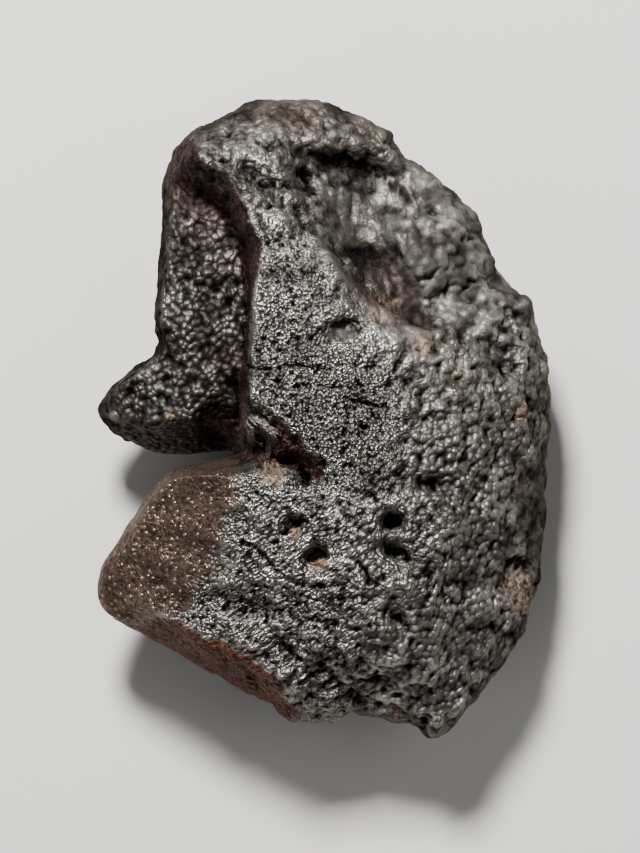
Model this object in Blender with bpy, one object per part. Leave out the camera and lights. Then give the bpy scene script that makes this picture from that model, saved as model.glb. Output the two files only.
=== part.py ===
"""Iron meteorite, a single lump of nickel-iron lying on its back.

+X is to the right and +Y up the broad front, which faces +Z. The lump rests on a small natural flat at
z = 0, and x = 0, y = 0 is the middle of its outline. Lengths are millimetres until the mesh is made.

The skin is two sheets, front and back, drawn on the same rings and joined along the lump's widest line.
Each sheet is a height over the plan: broken faces meet along ridges, and hollows are pressed into them.
"""

import bpy
import numpy as np

MM = 0.001

# Driving dimensions
RINGS = 24
NOTCH_END = complex(-6.5, -2.33)
NOTCH_TURN = 10.0
SLIT = ((-6.1, -2.25), (-11.0, -3.1))
RING_CENTRE = 2.4
EDGE_CROWDING = 0.62
RIDGE_ROUNDING = 0.55
EDGE_ROUNDING = 0.30
THINNEST = 1.5
WARP = 0.5
LUMP_SIZE = 3.0
LUMP_HEIGHT = 0.6
LUMP_MEAN = 0.36
MIDDLE = (0.02, 0.11)

# The widest line, clockwise from the inner end of the notch: x, y, its height, how steeply the lump
# climbs from it to the front and drops from it to the back (rise over run), and its rounding's radius.
OUTLINE = np.array([
    (-6.1, -2.25, 5.0, 6.0, 2.6, 0.3),
    (-7.0, -2.15, 4.6, 1.7, 2.6, 0.3),
    (-8.2, -2.28, 4.6, 1.8, 2.6, 0.3),
    (-9.4, -2.42, 4.8, 1.9, 2.5, 0.3),
    (-10.9, -2.4, 5.0, 2.0, 2.2, 0.4),
    (-12.1, -2.2, 5.4, 2.0, 1.8, 0.6),
    (-13.5, -1.6, 5.8, 1.8, 1.5, 0.8),
    (-14.9, -0.9, 6.4, 1.5, 1.2, 1.2),
    (-15.8, 0.3, 7.0, 1.2, 1.2, 1.6),
    (-15.5, 1.4, 7.4, 1.6, 1.2, 1.6),
    (-14.5, 2.7, 7.8, 2.2, 1.4, 1.2),
    (-12.6, 4.1, 8.0, 3.0, 1.6, 1.0),
    (-11.5, 5.4, 8.0, 3.4, 2.0, 0.9),
    (-11.9, 7.0, 7.8, 3.4, 2.0, 0.9),
    (-11.7, 10.4, 7.4, 3.2, 1.8, 0.9),
    (-11.4, 14.0, 7.0, 3.2, 1.6, 0.9),
    (-11.3, 16.7, 6.8, 3.6, 1.5, 0.8),
    (-10.1, 19.5, 7.6, 4.2, 1.4, 0.7),
    (-7.8, 21.0, 8.2, 2.0, 1.4, 1.2),
    (-5.0, 22.3, 8.2, 0.9, 1.5, 2.0),
    (-2.6, 22.5, 8.2, 0.8, 1.6, 2.2),
    (-0.2, 22.4, 8.4, 0.7, 1.6, 2.4),
    (2.2, 21.4, 8.2, 0.6, 1.6, 2.4),
    (4.5, 20.3, 8.0, 0.6, 1.8, 2.4),
    (5.2, 19.0, 8.0, 0.6, 1.8, 2.4),
    (7.4, 17.2, 7.8, 0.6, 1.8, 2.6),
    (9.8, 15.4, 7.4, 0.7, 1.8, 2.6),
    (10.9, 13.7, 7.2, 0.8, 1.6, 2.4),
    (11.6, 12.1, 7.2, 0.8, 1.6, 2.4),
    (12.8, 9.6, 7.2, 0.8, 1.8, 2.4),
    (14.4, 8.2, 7.4, 0.9, 2.0, 2.0),
    (14.8, 6.6, 7.4, 0.9, 2.0, 2.4),
    (15.6, 4.4, 7.2, 0.9, 2.2, 2.6),
    (15.9, 1.4, 6.8, 0.9, 2.4, 3.2),
    (15.7, -3.0, 6.4, 0.9, 2.4, 3.6),
    (15.4, -7.0, 6.2, 0.9, 2.2, 3.4),
    (15.2, -11.0, 6.2, 0.8, 1.8, 3.0),
    (14.5, -13.2, 6.4, 0.7, 1.6, 2.8),
    (13.5, -15.6, 6.6, 0.7, 1.5, 2.6),
    (12.0, -18.0, 6.8, 0.7, 1.5, 2.4),
    (10.0, -20.5, 7.0, 0.8, 1.5, 2.0),
    (7.7, -22.5, 7.0, 0.9, 1.4, 1.6),
    (6.2, -21.5, 7.0, 1.0, 1.5, 1.8),
    (4.3, -21.1, 6.8, 1.0, 1.6, 2.0),
    (2.3, -20.7, 6.6, 1.0, 1.6, 2.2),
    (0.2, -21.1, 6.4, 1.2, 1.8, 2.0),
    (-2.0, -21.0, 6.2, 1.8, 1.8, 1.4),
    (-4.4, -19.7, 5.8, 3.4, 1.6, 0.4),
    (-8.3, -17.6, 5.8, 3.4, 1.4, 0.4),
    (-11.0, -16.0, 6.4, 3.0, 1.3, 0.4),
    (-13.2, -14.8, 7.2, 2.0, 1.2, 0.7),
    (-14.8, -13.8, 7.8, 1.8, 1.2, 0.9),
    (-15.8, -12.3, 8.2, 1.6, 1.3, 1.0),
    (-15.6, -10.2, 8.8, 1.8, 1.4, 1.1),
    (-14.0, -7.8, 9.2, 2.8, 1.7, 1.1),
    (-12.3, -5.2, 9.8, 5.0, 2.1, 1.0),
    (-11.5, -4.3, 10.0, 6.5, 2.3, 0.9),
    (-10.6, -3.45, 10.0, 8.0, 2.4, 0.8),
    (-9.3, -3.1, 9.2, 9.0, 2.6, 0.6),
    (-8.2, -2.85, 8.0, 9.0, 2.6, 0.5),
    (-7.0, -2.6, 6.4, 8.0, 2.6, 0.4),
])

# Broken faces of the front: a point on each (x, y, z), the way it falls in degrees, and rise over run.
FRONT_FACES = (
    (-1.0, 0.0, 17.6, -20.0, 0.05),
    (6.0, 0.0, 17.1, -3.0, 0.42),
    (12.2, -2.0, 13.8, -8.0, 1.05),
    (5.0, 12.0, 16.4, 48.0, 0.55),
    (-2.5, 13.5, 16.8, 95.0, 0.42),
    (-3.0, 19.0, 13.8, 92.0, 1.0),
    (5.5, -10.0, 16.6, -42.0, 0.45),
    (1.5, -15.0, 15.4, -92.0, 0.72),
    (-7.0, -7.8, 16.6, 196.0, 0.66),
    (-6.5, -14.4, 13.4, 240.0, 0.50),
)
# The lower shelf of the upper left: its own faces, and the middle line of the cliff that bounds it.
SHELF_FACES = (
    (-5.5, 7.0, 12.0, 180.0, 0.16),
    (-7.0, 3.4, 11.2, 20.0, 0.14),
    (-11.5, 1.4, 11.2, 215.0, 0.40),
    (-8.0, 17.0, 10.8, 150.0, 0.45),
)
SHELF = np.array([
    (-30.0, 26.0), (-12.6, 19.8), (-10.6, 18.4), (-7.8, 16.5), (-5.8, 14.0), (-5.1, 12.2), (-5.2, 9.0),
    (-5.6, 4.8), (-5.4, 1.6), (-5.5, -2.4), (-30.0, -2.8),
])
CLIFF_RUN_HIGH = 2.4
CLIFF_RUN_LOW = 0.7

# Hollows pressed into the front: x, y, half length, half width, turn in degrees, depth, softness of rim.
# A hollow with a depth below zero is a hump.
FRONT_HOLLOWS = (
    (1.5, 15.2, 3.9, 3.2, -14.0, 2.8, 0.42),
    (1.7, 17.8, 2.3, 0.5, -16.0, 1.2, 0.50),
    (4.0, 9.7, 4.4, 2.3, -45.0, 2.8, 0.36),
    (2.7, 11.1, 1.8, 0.5, -8.0, 1.2, 0.50),
    (6.7, 10.4, 1.8, 0.7, -75.0, -0.7, 0.60),
    (-3.6, -1.9, 1.9, 0.9, -34.0, 2.3, 0.34),
    (-1.2, -3.1, 1.8, 0.7, -38.0, 1.9, 0.34),
    (-3.0, -2.9, 0.6, 0.4, -16.0, 1.0, 0.50),
    (-1.4, -4.0, 0.5, 0.6, 0.0, 1.2, 0.50),
    (-7.0, -0.5, 1.5, 1.4, 14.0, 1.8, 0.36),
    (-2.2, -7.5, 0.9, 0.8, 0.0, 0.9, 0.40),
    (-0.5, -9.5, 0.8, 0.6, 10.0, 1.2, 0.40),
    (4.6, -6.9, 0.8, 0.8, 0.0, 1.6, 0.40),
    (4.7, -9.1, 1.1, 0.7, -25.0, 1.5, 0.40),
    (7.4, -4.4, 1.4, 0.8, -10.0, 0.9, 0.60),
    (13.3, -10.6, 1.3, 0.9, 10.0, 1.1, 0.50),
    (-3.8, -13.0, 2.1, 0.8, 14.0, 1.1, 0.50),
    (-6.8, -12.8, 1.3, 0.7, -40.0, 0.9, 0.50),
    (-0.2, -18.0, 1.3, 0.9, 20.0, 1.1, 0.60),
    (-2.4, -16.0, 1.1, 0.6, -30.0, 0.8, 0.60),
    (5.1, -13.9, 1.1, 0.7, -20.0, 0.8, 0.60),
    (-4.3, 16.5, 1.4, 0.7, -40.0, 1.0, 0.50),
    (-1.4, 16.9, 0.8, 0.7, 0.0, 1.0, 0.60),
    (1.4, 6.2, 1.2, 0.7, 20.0, 0.8, 0.50),
    (9.4, 8.6, 1.6, 0.7, 12.0, 0.7, 0.60),
    (12.0, 4.6, 1.4, 0.7, -30.0, 0.8, 0.60),
)

# How lumpy each part of the front is: x, y, how far it reaches, and its share of the full lump height.
FRONT_LUMPS = (
    (-1.0, 1.0, 4.0, 0.25),
    (-3.0, 9.0, 3.0, 0.40),
    (-8.5, 10.0, 3.5, 0.35),
    (-13.0, 1.0, 3.0, 0.55),
    (-11.5, -9.5, 4.0, 0.30),
    (-3.0, -9.0, 4.0, 0.55),
    (-1.0, -16.5, 4.0, 0.95),
    (6.0, -9.0, 4.0, 0.70),
    (13.0, -3.0, 5.0, 0.80),
    (9.0, 9.0, 4.0, 1.00),
    (1.0, 13.0, 4.0, 0.90),
    (-2.0, 20.0, 4.0, 0.60),
)

# Broken faces of the back, as for the front, and the shallow thumbprints in them.
BACK_FACES = (
    (0.0, 0.0, -0.7, 0.0, 0.0),
    (7.5, 1.0, 0.0, 180.0, 0.42),
    (11.5, -3.0, 2.4, 168.0, 1.1),
    (2.0, 11.0, 0.0, 250.0, 0.45),
    (-4.0, 9.5, 0.0, 315.0, 0.50),
    (-6.0, 1.0, 0.0, 355.0, 0.38),
    (-5.5, -8.5, 0.0, 25.0, 0.40),
    (-1.0, -12.5, 0.0, 82.0, 0.55),
    (7.0, -10.5, 0.0, 138.0, 0.48),
)
BACK_HOLLOWS = (
    (8.6, 11.0, 3.6, 2.8, 50.0, 1.3, 0.45),
    (-6.6, 13.6, 3.4, 2.6, 110.0, 1.2, 0.45),
    (10.8, -7.2, 3.0, 2.6, 80.0, 1.1, 0.45),
    (-9.8, -9.6, 3.0, 2.4, 30.0, 1.0, 0.45),
    (3.2, -16.6, 3.4, 2.2, -10.0, 1.0, 0.45),
)


def smooth_least(heights, rounding):
    """The lowest of several heights, with the ridges between them rounded: -k log(sum(exp(-h / k)))."""
    stack = np.stack(heights)
    least = stack.min(axis=0)
    return least - rounding * np.log(np.exp((least - stack) / rounding).sum(axis=0))


def face_heights(x, y, faces):
    """Each broken face is a plane: its point's height, less its slope times the way gone downhill."""
    heights = []
    for x0, y0, z0, fall, slope in faces:
        way = np.radians(fall)
        heights.append(z0 - slope * ((x - x0) * np.cos(way) + (y - y0) * np.sin(way)))
    return heights


def hollow_depth(x, y, hollows):
    """Sum of pressed hollows: each is its depth times a soft step of the distance in an ellipse's radii."""
    depth = np.zeros_like(x)
    for x0, y0, half_length, half_width, turn, deep, soft in hollows:
        a = np.radians(turn)
        along = ((x - x0) * np.cos(a) + (y - y0) * np.sin(a)) / half_length
        across = ((y - y0) * np.cos(a) - (x - x0) * np.sin(a)) / half_width
        depth += deep / (1.0 + np.exp((np.hypot(along, across) - 1.0) * 2.2 / soft))
    return depth


def hashed(ix, iy, iz, seed):
    """A number from -1 to 1 for each lattice point, from its whole-number place alone."""
    h = ix.astype(np.uint32) * np.uint32(374761393) + iy.astype(np.uint32) * np.uint32(668265263)
    h += iz.astype(np.uint32) * np.uint32(2246822519) + np.uint32(seed * 3266489917 % 2**32)
    h = (h ^ (h >> np.uint32(13))) * np.uint32(1274126177)
    h = (h ^ (h >> np.uint32(15))) * np.uint32(2654435761)
    return ((h ^ (h >> np.uint32(16))).astype(float) / 2147483647.5) - 1.0


def rough(points, size, seed):
    """Smooth noise with lumps of about that size: a hashed slope at each corner of a turned lattice,
    blended across the cell by a quintic curve."""
    a, b = 0.7 + 1.3 * seed, 0.4 + 2.1 * seed
    turn_z = np.array([(np.cos(a), -np.sin(a), 0.0), (np.sin(a), np.cos(a), 0.0), (0.0, 0.0, 1.0)])
    turn_x = np.array([(1.0, 0.0, 0.0), (0.0, np.cos(b), -np.sin(b)), (0.0, np.sin(b), np.cos(b))])
    p = points @ (turn_z @ turn_x) / size
    cell = np.floor(p).astype(np.int64)
    f = p - cell
    s = f * f * f * (f * (f * 6.0 - 15.0) + 10.0)
    total = np.zeros(len(points))
    for corner in np.ndindex(2, 2, 2):
        weight = np.ones(len(points))
        slope = np.zeros(len(points))
        at = [cell[:, k] + corner[k] for k in range(3)]
        for k in range(3):
            weight *= s[:, k] if corner[k] else 1.0 - s[:, k]
            slope += hashed(*at, 3 * seed + k) * (f[:, k] - corner[k])
        total += weight * slope
    return total * 1.6


def square_rings(rings):
    """Rings of a square grid: how far out each point is, 0 to 1, and how far round, 0 to 1."""
    i, j = np.meshgrid(np.arange(-rings, rings + 1), np.arange(-rings, rings + 1), indexing="ij")
    out = np.maximum(abs(i), abs(j))
    sideways = abs(i) >= abs(j)
    long_side = np.where(sideways, i, j)
    share = np.where(sideways, j, i) / np.where(long_side == 0, 1, long_side) / 8.0
    round_ = np.where(sideways, np.where(i >= 0, 0.0, 0.5) + share, np.where(j > 0, 0.25, 0.75) - share)
    return (out / rings).ravel(), (round_ % 1.0).ravel()


def side_distance(x, y, start, end):
    """Distance in plan to the straight side between two points."""
    (x0, y0), (x1, y1) = start, end
    dx, dy = x1 - x0, y1 - y0
    t = np.clip(((x - x0) * dx + (y - y0) * dy) / (dx * dx + dy * dy), 0, 1)
    return np.hypot(x - x0 - t * dx, y - y0 - t * dy)


def outline_curve(points_per_span=16):
    """The outline as a closed smooth curve (Catmull-Rom through its points), and the length along it."""
    before, here = np.roll(OUTLINE, 1, axis=0), OUTLINE
    after, beyond = np.roll(OUTLINE, -1, axis=0), np.roll(OUTLINE, -2, axis=0)
    t = np.linspace(0, 1, points_per_span, endpoint=False)[:, None, None]
    curve = 0.5 * (2 * here + (after - before) * t + (2 * before - 5 * here + 4 * after - beyond) * t**2
                   + (3 * here - before - 3 * after + beyond) * t**3)
    curve = curve.transpose(1, 0, 2).reshape(-1, OUTLINE.shape[1])
    curve = np.vstack([curve, curve[:1]])
    run = np.hypot(*np.diff(curve[:, :2], axis=0).T)
    return curve, np.concatenate([[0.0], np.cumsum(run)])


def fanned(x, y):
    """Square-root space about the notch's inner end: w, where x + iy = notch end + turn * w * w. It opens
    the notch out into a straight side, so what is near in it is near through the iron."""
    return np.sqrt((x + 1j * y - NOTCH_END) / np.exp(1j * np.radians(NOTCH_TURN)))


def plan(out, round_):
    """Where each ring point lies in plan. The rings are smaller and smaller outlines in the fanned
    space, so they bend round the notch and never cross it."""
    curve, length = outline_curve()
    along = ((round_ + 0.5) % 1.0) * length[-1]
    edge = fanned(np.interp(along, length, curve[:, 0]), np.interp(along, length, curve[:, 1]))
    w = RING_CENTRE + out * (edge - RING_CENTRE)
    z = NOTCH_END + np.exp(1j * np.radians(NOTCH_TURN)) * w * w
    return z.real, z.imag


def edge_values(x, y):
    """Distance in from the outline, and its height, slopes and radius there, which are means weighted
    by 1 / d^4, with d the distance in the fanned space."""
    curve, length = outline_curve()
    stops = np.linspace(0, length[-1], 512, endpoint=False)
    table = np.stack([np.interp(stops, length, column) for column in curve.T])
    d2 = (x[:, None] - table[0]) ** 2 + (y[:, None] - table[1]) ** 2
    near = d2.argmin(axis=1)
    distance = np.full(x.shape, np.inf)
    for step in (-1, 1):
        beside = table[:2, (near + step) % 512]
        distance = np.minimum(distance, side_distance(x, y, table[:2, near], beside))
    fanned_gap = np.abs(fanned(x, y)[:, None] - fanned(table[0], table[1]))
    weight = 1.0 / (fanned_gap**2 + 0.0005) ** 2
    weight /= weight.sum(axis=1, keepdims=True)
    return (distance,) + tuple(weight @ column for column in table[2:])


def inside_distance(x, y, corners):
    """Signed distance to a polygon's edge, positive inside: nearest of its sides, and an even-odd test."""
    nearest = np.full(x.shape, np.inf)
    inside = np.zeros(x.shape, bool)
    for start, end in zip(corners, np.roll(corners, -1, axis=0)):
        nearest = np.minimum(nearest, side_distance(x, y, start, end))
        dx, dy = end - start
        crosses = (start[1] > y) != (end[1] > y)
        inside ^= crosses & (x < dx * (y - start[1]) / (dy if dy else 1e-9) + start[0])
    return np.where(inside, nearest, -nearest)


def rise(distance, slope, radius):
    """Rise from the widest line at a distance in from it: a quarter circle there, then a slope."""
    turned = np.clip(1.0 - distance / radius, 0, 1)
    return slope * distance + radius * np.sqrt(1.0 - turned**2)


def front_height(x, y, distance, rim, climb, radius):
    """Height of the front over the plan: faces under ridges, the shelf below its cliff, the climb from
    the widest line, and the hollows taken off, fading to nothing at that line."""
    flat = np.stack([x, y, np.zeros_like(x)], axis=1)
    wx = x + WARP * (rough(flat, 3.2, 1) + 0.5 * rough(flat, 1.5, 2))
    wy = y + WARP * (rough(flat, 3.2, 3) + 0.5 * rough(flat, 1.5, 4))
    body = smooth_least(face_heights(wx, wy, FRONT_FACES), RIDGE_ROUNDING)
    shelf = smooth_least(face_heights(wx, wy, SHELF_FACES), RIDGE_ROUNDING)
    run = CLIFF_RUN_LOW + (CLIFF_RUN_HIGH - CLIFF_RUN_LOW) * np.clip((y - 9.0) / 6.0, 0, 1)
    slope = np.clip(0.5 + inside_distance(wx, wy, SHELF) / run, 0, 1)
    slope = 0.5 * slope + 0.5 * slope * slope * (3.0 - 2.0 * slope)
    top = body + (np.minimum(shelf, body) - body) * slope
    top = smooth_least([top, rim + rise(distance, climb, radius)], EDGE_ROUNDING)
    return top - hollow_depth(wx, wy, FRONT_HOLLOWS) * np.clip(distance / 1.2, 0, 1)


def back_height(x, y, distance, rim, drop, radius):
    """Height of the back over the plan, from the same parts as the front turned over."""
    flat = np.stack([x, y, np.full_like(x, 40.0)], axis=1)
    wx = x + WARP * 1.6 * (rough(flat, 4.5, 5) + 0.5 * rough(flat, 1.8, 6))
    wy = y + WARP * 1.6 * (rough(flat, 4.5, 7) + 0.5 * rough(flat, 1.8, 8))
    under = face_heights(wx, wy, BACK_FACES) + [rim - rise(distance, drop, radius)]
    under = -smooth_least([-h for h in under], RIDGE_ROUNDING)
    return under + hollow_depth(wx, wy, BACK_HOLLOWS) * np.clip(distance / 1.2, 0, 1)


def local_share(x, y, spots):
    """A value that drifts between the values of the spots, each weighted by a bell of the distance."""
    total = np.full(x.shape, 1e-9)
    value = np.zeros(x.shape)
    for x0, y0, reach, amount in spots:
        bell = np.exp(-((x - x0) ** 2 + (y - y0) ** 2) / reach**2)
        total += bell
        value += bell * amount
    return value / total


def spread(face_values, faces, count):
    """Sum onto each point of the values of the faces that meet there."""
    total = np.zeros((count, 3))
    for k in range(4):
        for axis in range(3):
            total[:, axis] += np.bincount(faces[:, k], face_values[:, axis], count)
    return total


def evened(points, faces):
    """Each point moved to the mean of the middles of the faces round it."""
    middles = sum(points[faces[:, k]] for k in range(4)) / 4.0
    meeting = np.bincount(faces.ravel(), minlength=len(points))[:, None]
    return spread(middles, faces, len(points)) / meeting


def outward(points, faces, evenings):
    """Unit normals of the points, from the crossed diagonals of the faces round each, then evened."""
    a, b, c, d = (points[faces[:, k]] for k in range(4))
    normals = spread(np.cross(c - a, d - b), faces, len(points))
    for turn in range(evenings):
        normals /= np.linalg.norm(normals, axis=1, keepdims=True)
        normals = evened(normals, faces)
    return normals / np.linalg.norm(normals, axis=1, keepdims=True)


def skin(rings):
    """Points of the closed skin in millimetres, and its four-sided faces."""
    out, round_ = square_rings(rings)
    out = 1.0 - (1.0 - out) ** (1.0 / EDGE_CROWDING)
    x, y = plan(out, round_)
    distance, rim, climb, drop, radius = edge_values(x, y)
    front = front_height(x, y, distance, rim, climb, radius)
    back = back_height(x, y, distance, rim, drop, radius)
    back = np.minimum(back, front - THINNEST * np.minimum(1.0, distance))
    at_edge = out > 1.0 - 1e-9
    front = np.where(at_edge, rim, front)
    side = 2 * rings + 1
    number = np.arange(side * side)
    number_back = number.copy()
    number_back[~at_edge] = side * side + np.arange((~at_edge).sum())
    points = np.vstack([np.stack([x, y, front], axis=1), np.stack([x, y, back], axis=1)[~at_edge]])
    faces = []
    for grid, order in ((number, (3, 2, 1, 0)), (number_back, (0, 1, 2, 3))):
        grid = grid.reshape(side, side)
        corners = [grid[:-1, :-1], grid[1:, :-1], grid[1:, 1:], grid[:-1, 1:]]
        faces.append(np.stack([corners[k].ravel() for k in order], axis=1))
    faces = np.vstack(faces)
    for turn in range(rings // 24):
        points = evened(points, faces)
    lumps = np.abs(rough(points, LUMP_SIZE, 11)) + 0.5 * np.abs(rough(points, LUMP_SIZE * 0.55, 12))
    lumps -= LUMP_MEAN
    share = np.concatenate([local_share(x, y, FRONT_LUMPS), np.full(len(points) - len(x), 0.9)])
    share *= np.clip((side_distance(points[:, 0], points[:, 1], *SLIT) - 0.5) / 3.0, 0.05, 1.0)
    points += outward(points, faces, rings // 4) * (LUMP_HEIGHT * lumps * share)[:, None]
    points[:, :2] -= MIDDLE
    points[:, 2] = np.maximum(points[:, 2], 0.0)
    return points, faces


def make_object(name, points, faces, material):
    """A mesh object from points in millimetres, at the scene's origin."""
    mesh = bpy.data.meshes.new(name)
    mesh.from_pydata((points * MM).tolist(), [], faces.tolist())
    mesh.validate()
    mesh.update()
    mesh.materials.append(material)
    mesh.shade_smooth()
    made = bpy.data.objects.new(name, mesh)
    bpy.context.scene.collection.objects.link(made)
    return made


def iron_material():
    """Dark, half-bright weathered nickel-iron."""
    material = bpy.data.materials.new("weathered_iron")
    material.use_nodes = True
    shader = material.node_tree.nodes["Principled BSDF"]
    shader.inputs["Base Color"].default_value = (0.16, 0.15, 0.14, 1.0)
    shader.inputs["Metallic"].default_value = 0.9
    shader.inputs["Roughness"].default_value = 0.45
    return material


def main():
    for old in list(bpy.data.objects):
        bpy.data.objects.remove(old)
    points, faces = skin(RINGS)
    make_object("meteorite", points, faces, iron_material())


main()
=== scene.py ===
"""Looks of the iron meteorite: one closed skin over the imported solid, its metal and rust, the floor, the
light and the camera.

The skin repeats the solid's own shape formulas on finer rings and adds what is too small for the solid:
nodules, knobs, folds, cracks and small pits. Lengths in the shape formulas are millimetres.
"""

import bpy
import numpy as np
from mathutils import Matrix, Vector


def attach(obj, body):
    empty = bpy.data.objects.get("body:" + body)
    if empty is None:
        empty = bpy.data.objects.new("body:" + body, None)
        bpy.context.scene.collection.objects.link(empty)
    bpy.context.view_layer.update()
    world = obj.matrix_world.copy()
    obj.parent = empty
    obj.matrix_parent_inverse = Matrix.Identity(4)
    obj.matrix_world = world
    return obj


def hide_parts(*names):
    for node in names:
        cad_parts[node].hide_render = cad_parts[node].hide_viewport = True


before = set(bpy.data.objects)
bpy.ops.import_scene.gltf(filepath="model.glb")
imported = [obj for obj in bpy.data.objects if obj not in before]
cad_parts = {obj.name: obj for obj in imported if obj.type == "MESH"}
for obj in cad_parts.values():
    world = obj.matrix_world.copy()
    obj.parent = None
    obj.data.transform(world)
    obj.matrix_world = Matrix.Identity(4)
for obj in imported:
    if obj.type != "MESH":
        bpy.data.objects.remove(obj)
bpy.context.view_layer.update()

MM = 0.001

# The camera, straight above: its lens, its sensor, how tall a strip it sees at the height of the widest
# line, and where the middle of that strip is.
LENS = 300.0
SENSOR = 36.0
VIEW_TALL = 59.7
VIEW_X = -0.315
VIEW_Y = -0.56
RIM_HEIGHT = 7.0

# The floor and the lamps, in metres and watts: name, place, width, power.
FLOOR_HALF = 0.5
LAMPS = (
    ("key", (-0.05, 0.19, 0.26), 0.06, 2.9),
    ("fill", (0.20, 0.02, 0.26), 0.20, 0.15),
    ("low_fill", (-0.16, -0.18, 0.22), 0.18, 0.15),
)
STUDIO_TINT = (0.9, 0.95, 1.0, 1.0)
STUDIO_STRENGTH = 0.06

# Rings of the front and of the back, half as many on the back, and how much they crowd towards the edge.
FINE_RINGS = 140
COARSE_RINGS = 70
FINE_CROWDING = 0.82

# The shape of the lump, as in the solid. The notch: its inner end in plan, the way it points in degrees,
# and the middle line of its slit.
NOTCH_END = complex(-6.5, -2.33)
NOTCH_TURN = 10.0
SLIT = ((-6.1, -2.25), (-11.0, -3.1))
# Where the rings shrink to in the fanned space, and at how many places the widest line is read.
RING_CENTRE = 2.4
EDGE_STOPS = 512
# Rounding of ridges and of the edge, how far in from the edge the hollows fade, and the thinnest iron.
RIDGE_ROUNDING = 0.55
EDGE_ROUNDING = 0.30
HOLLOW_FADE = 1.2
THINNEST = 1.5
# How far a noise moves the plan of the front and of the back, its two sizes, and the level at which the
# back reads it, so that the two sides differ.
WARP = 0.5
WARP_SIZES = (3.2, 1.5)
BACK_WARP = 0.8
BACK_WARP_SIZES = (4.5, 1.8)
BACK_WARP_LEVEL = 40.0
# The low lumps: size, height, the mean of their noise, and the share of that height on the back.
LUMP_SIZE = 3.0
LUMP_HEIGHT = 0.6
LUMP_MEAN = 0.36
BACK_LUMPS = 0.9
# Lumps and relief by the slit: how far from its line they start, how far on they are whole, least share.
LUMPS_BY_SLIT = (0.5, 3.0, 0.05)
RELIEF_BY_SLIT = (0.1, 0.6, 0.2)
# Where the middle of the lump's box is in plan before it is moved to the origin.
MIDDLE = (0.02, 0.11)

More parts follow.
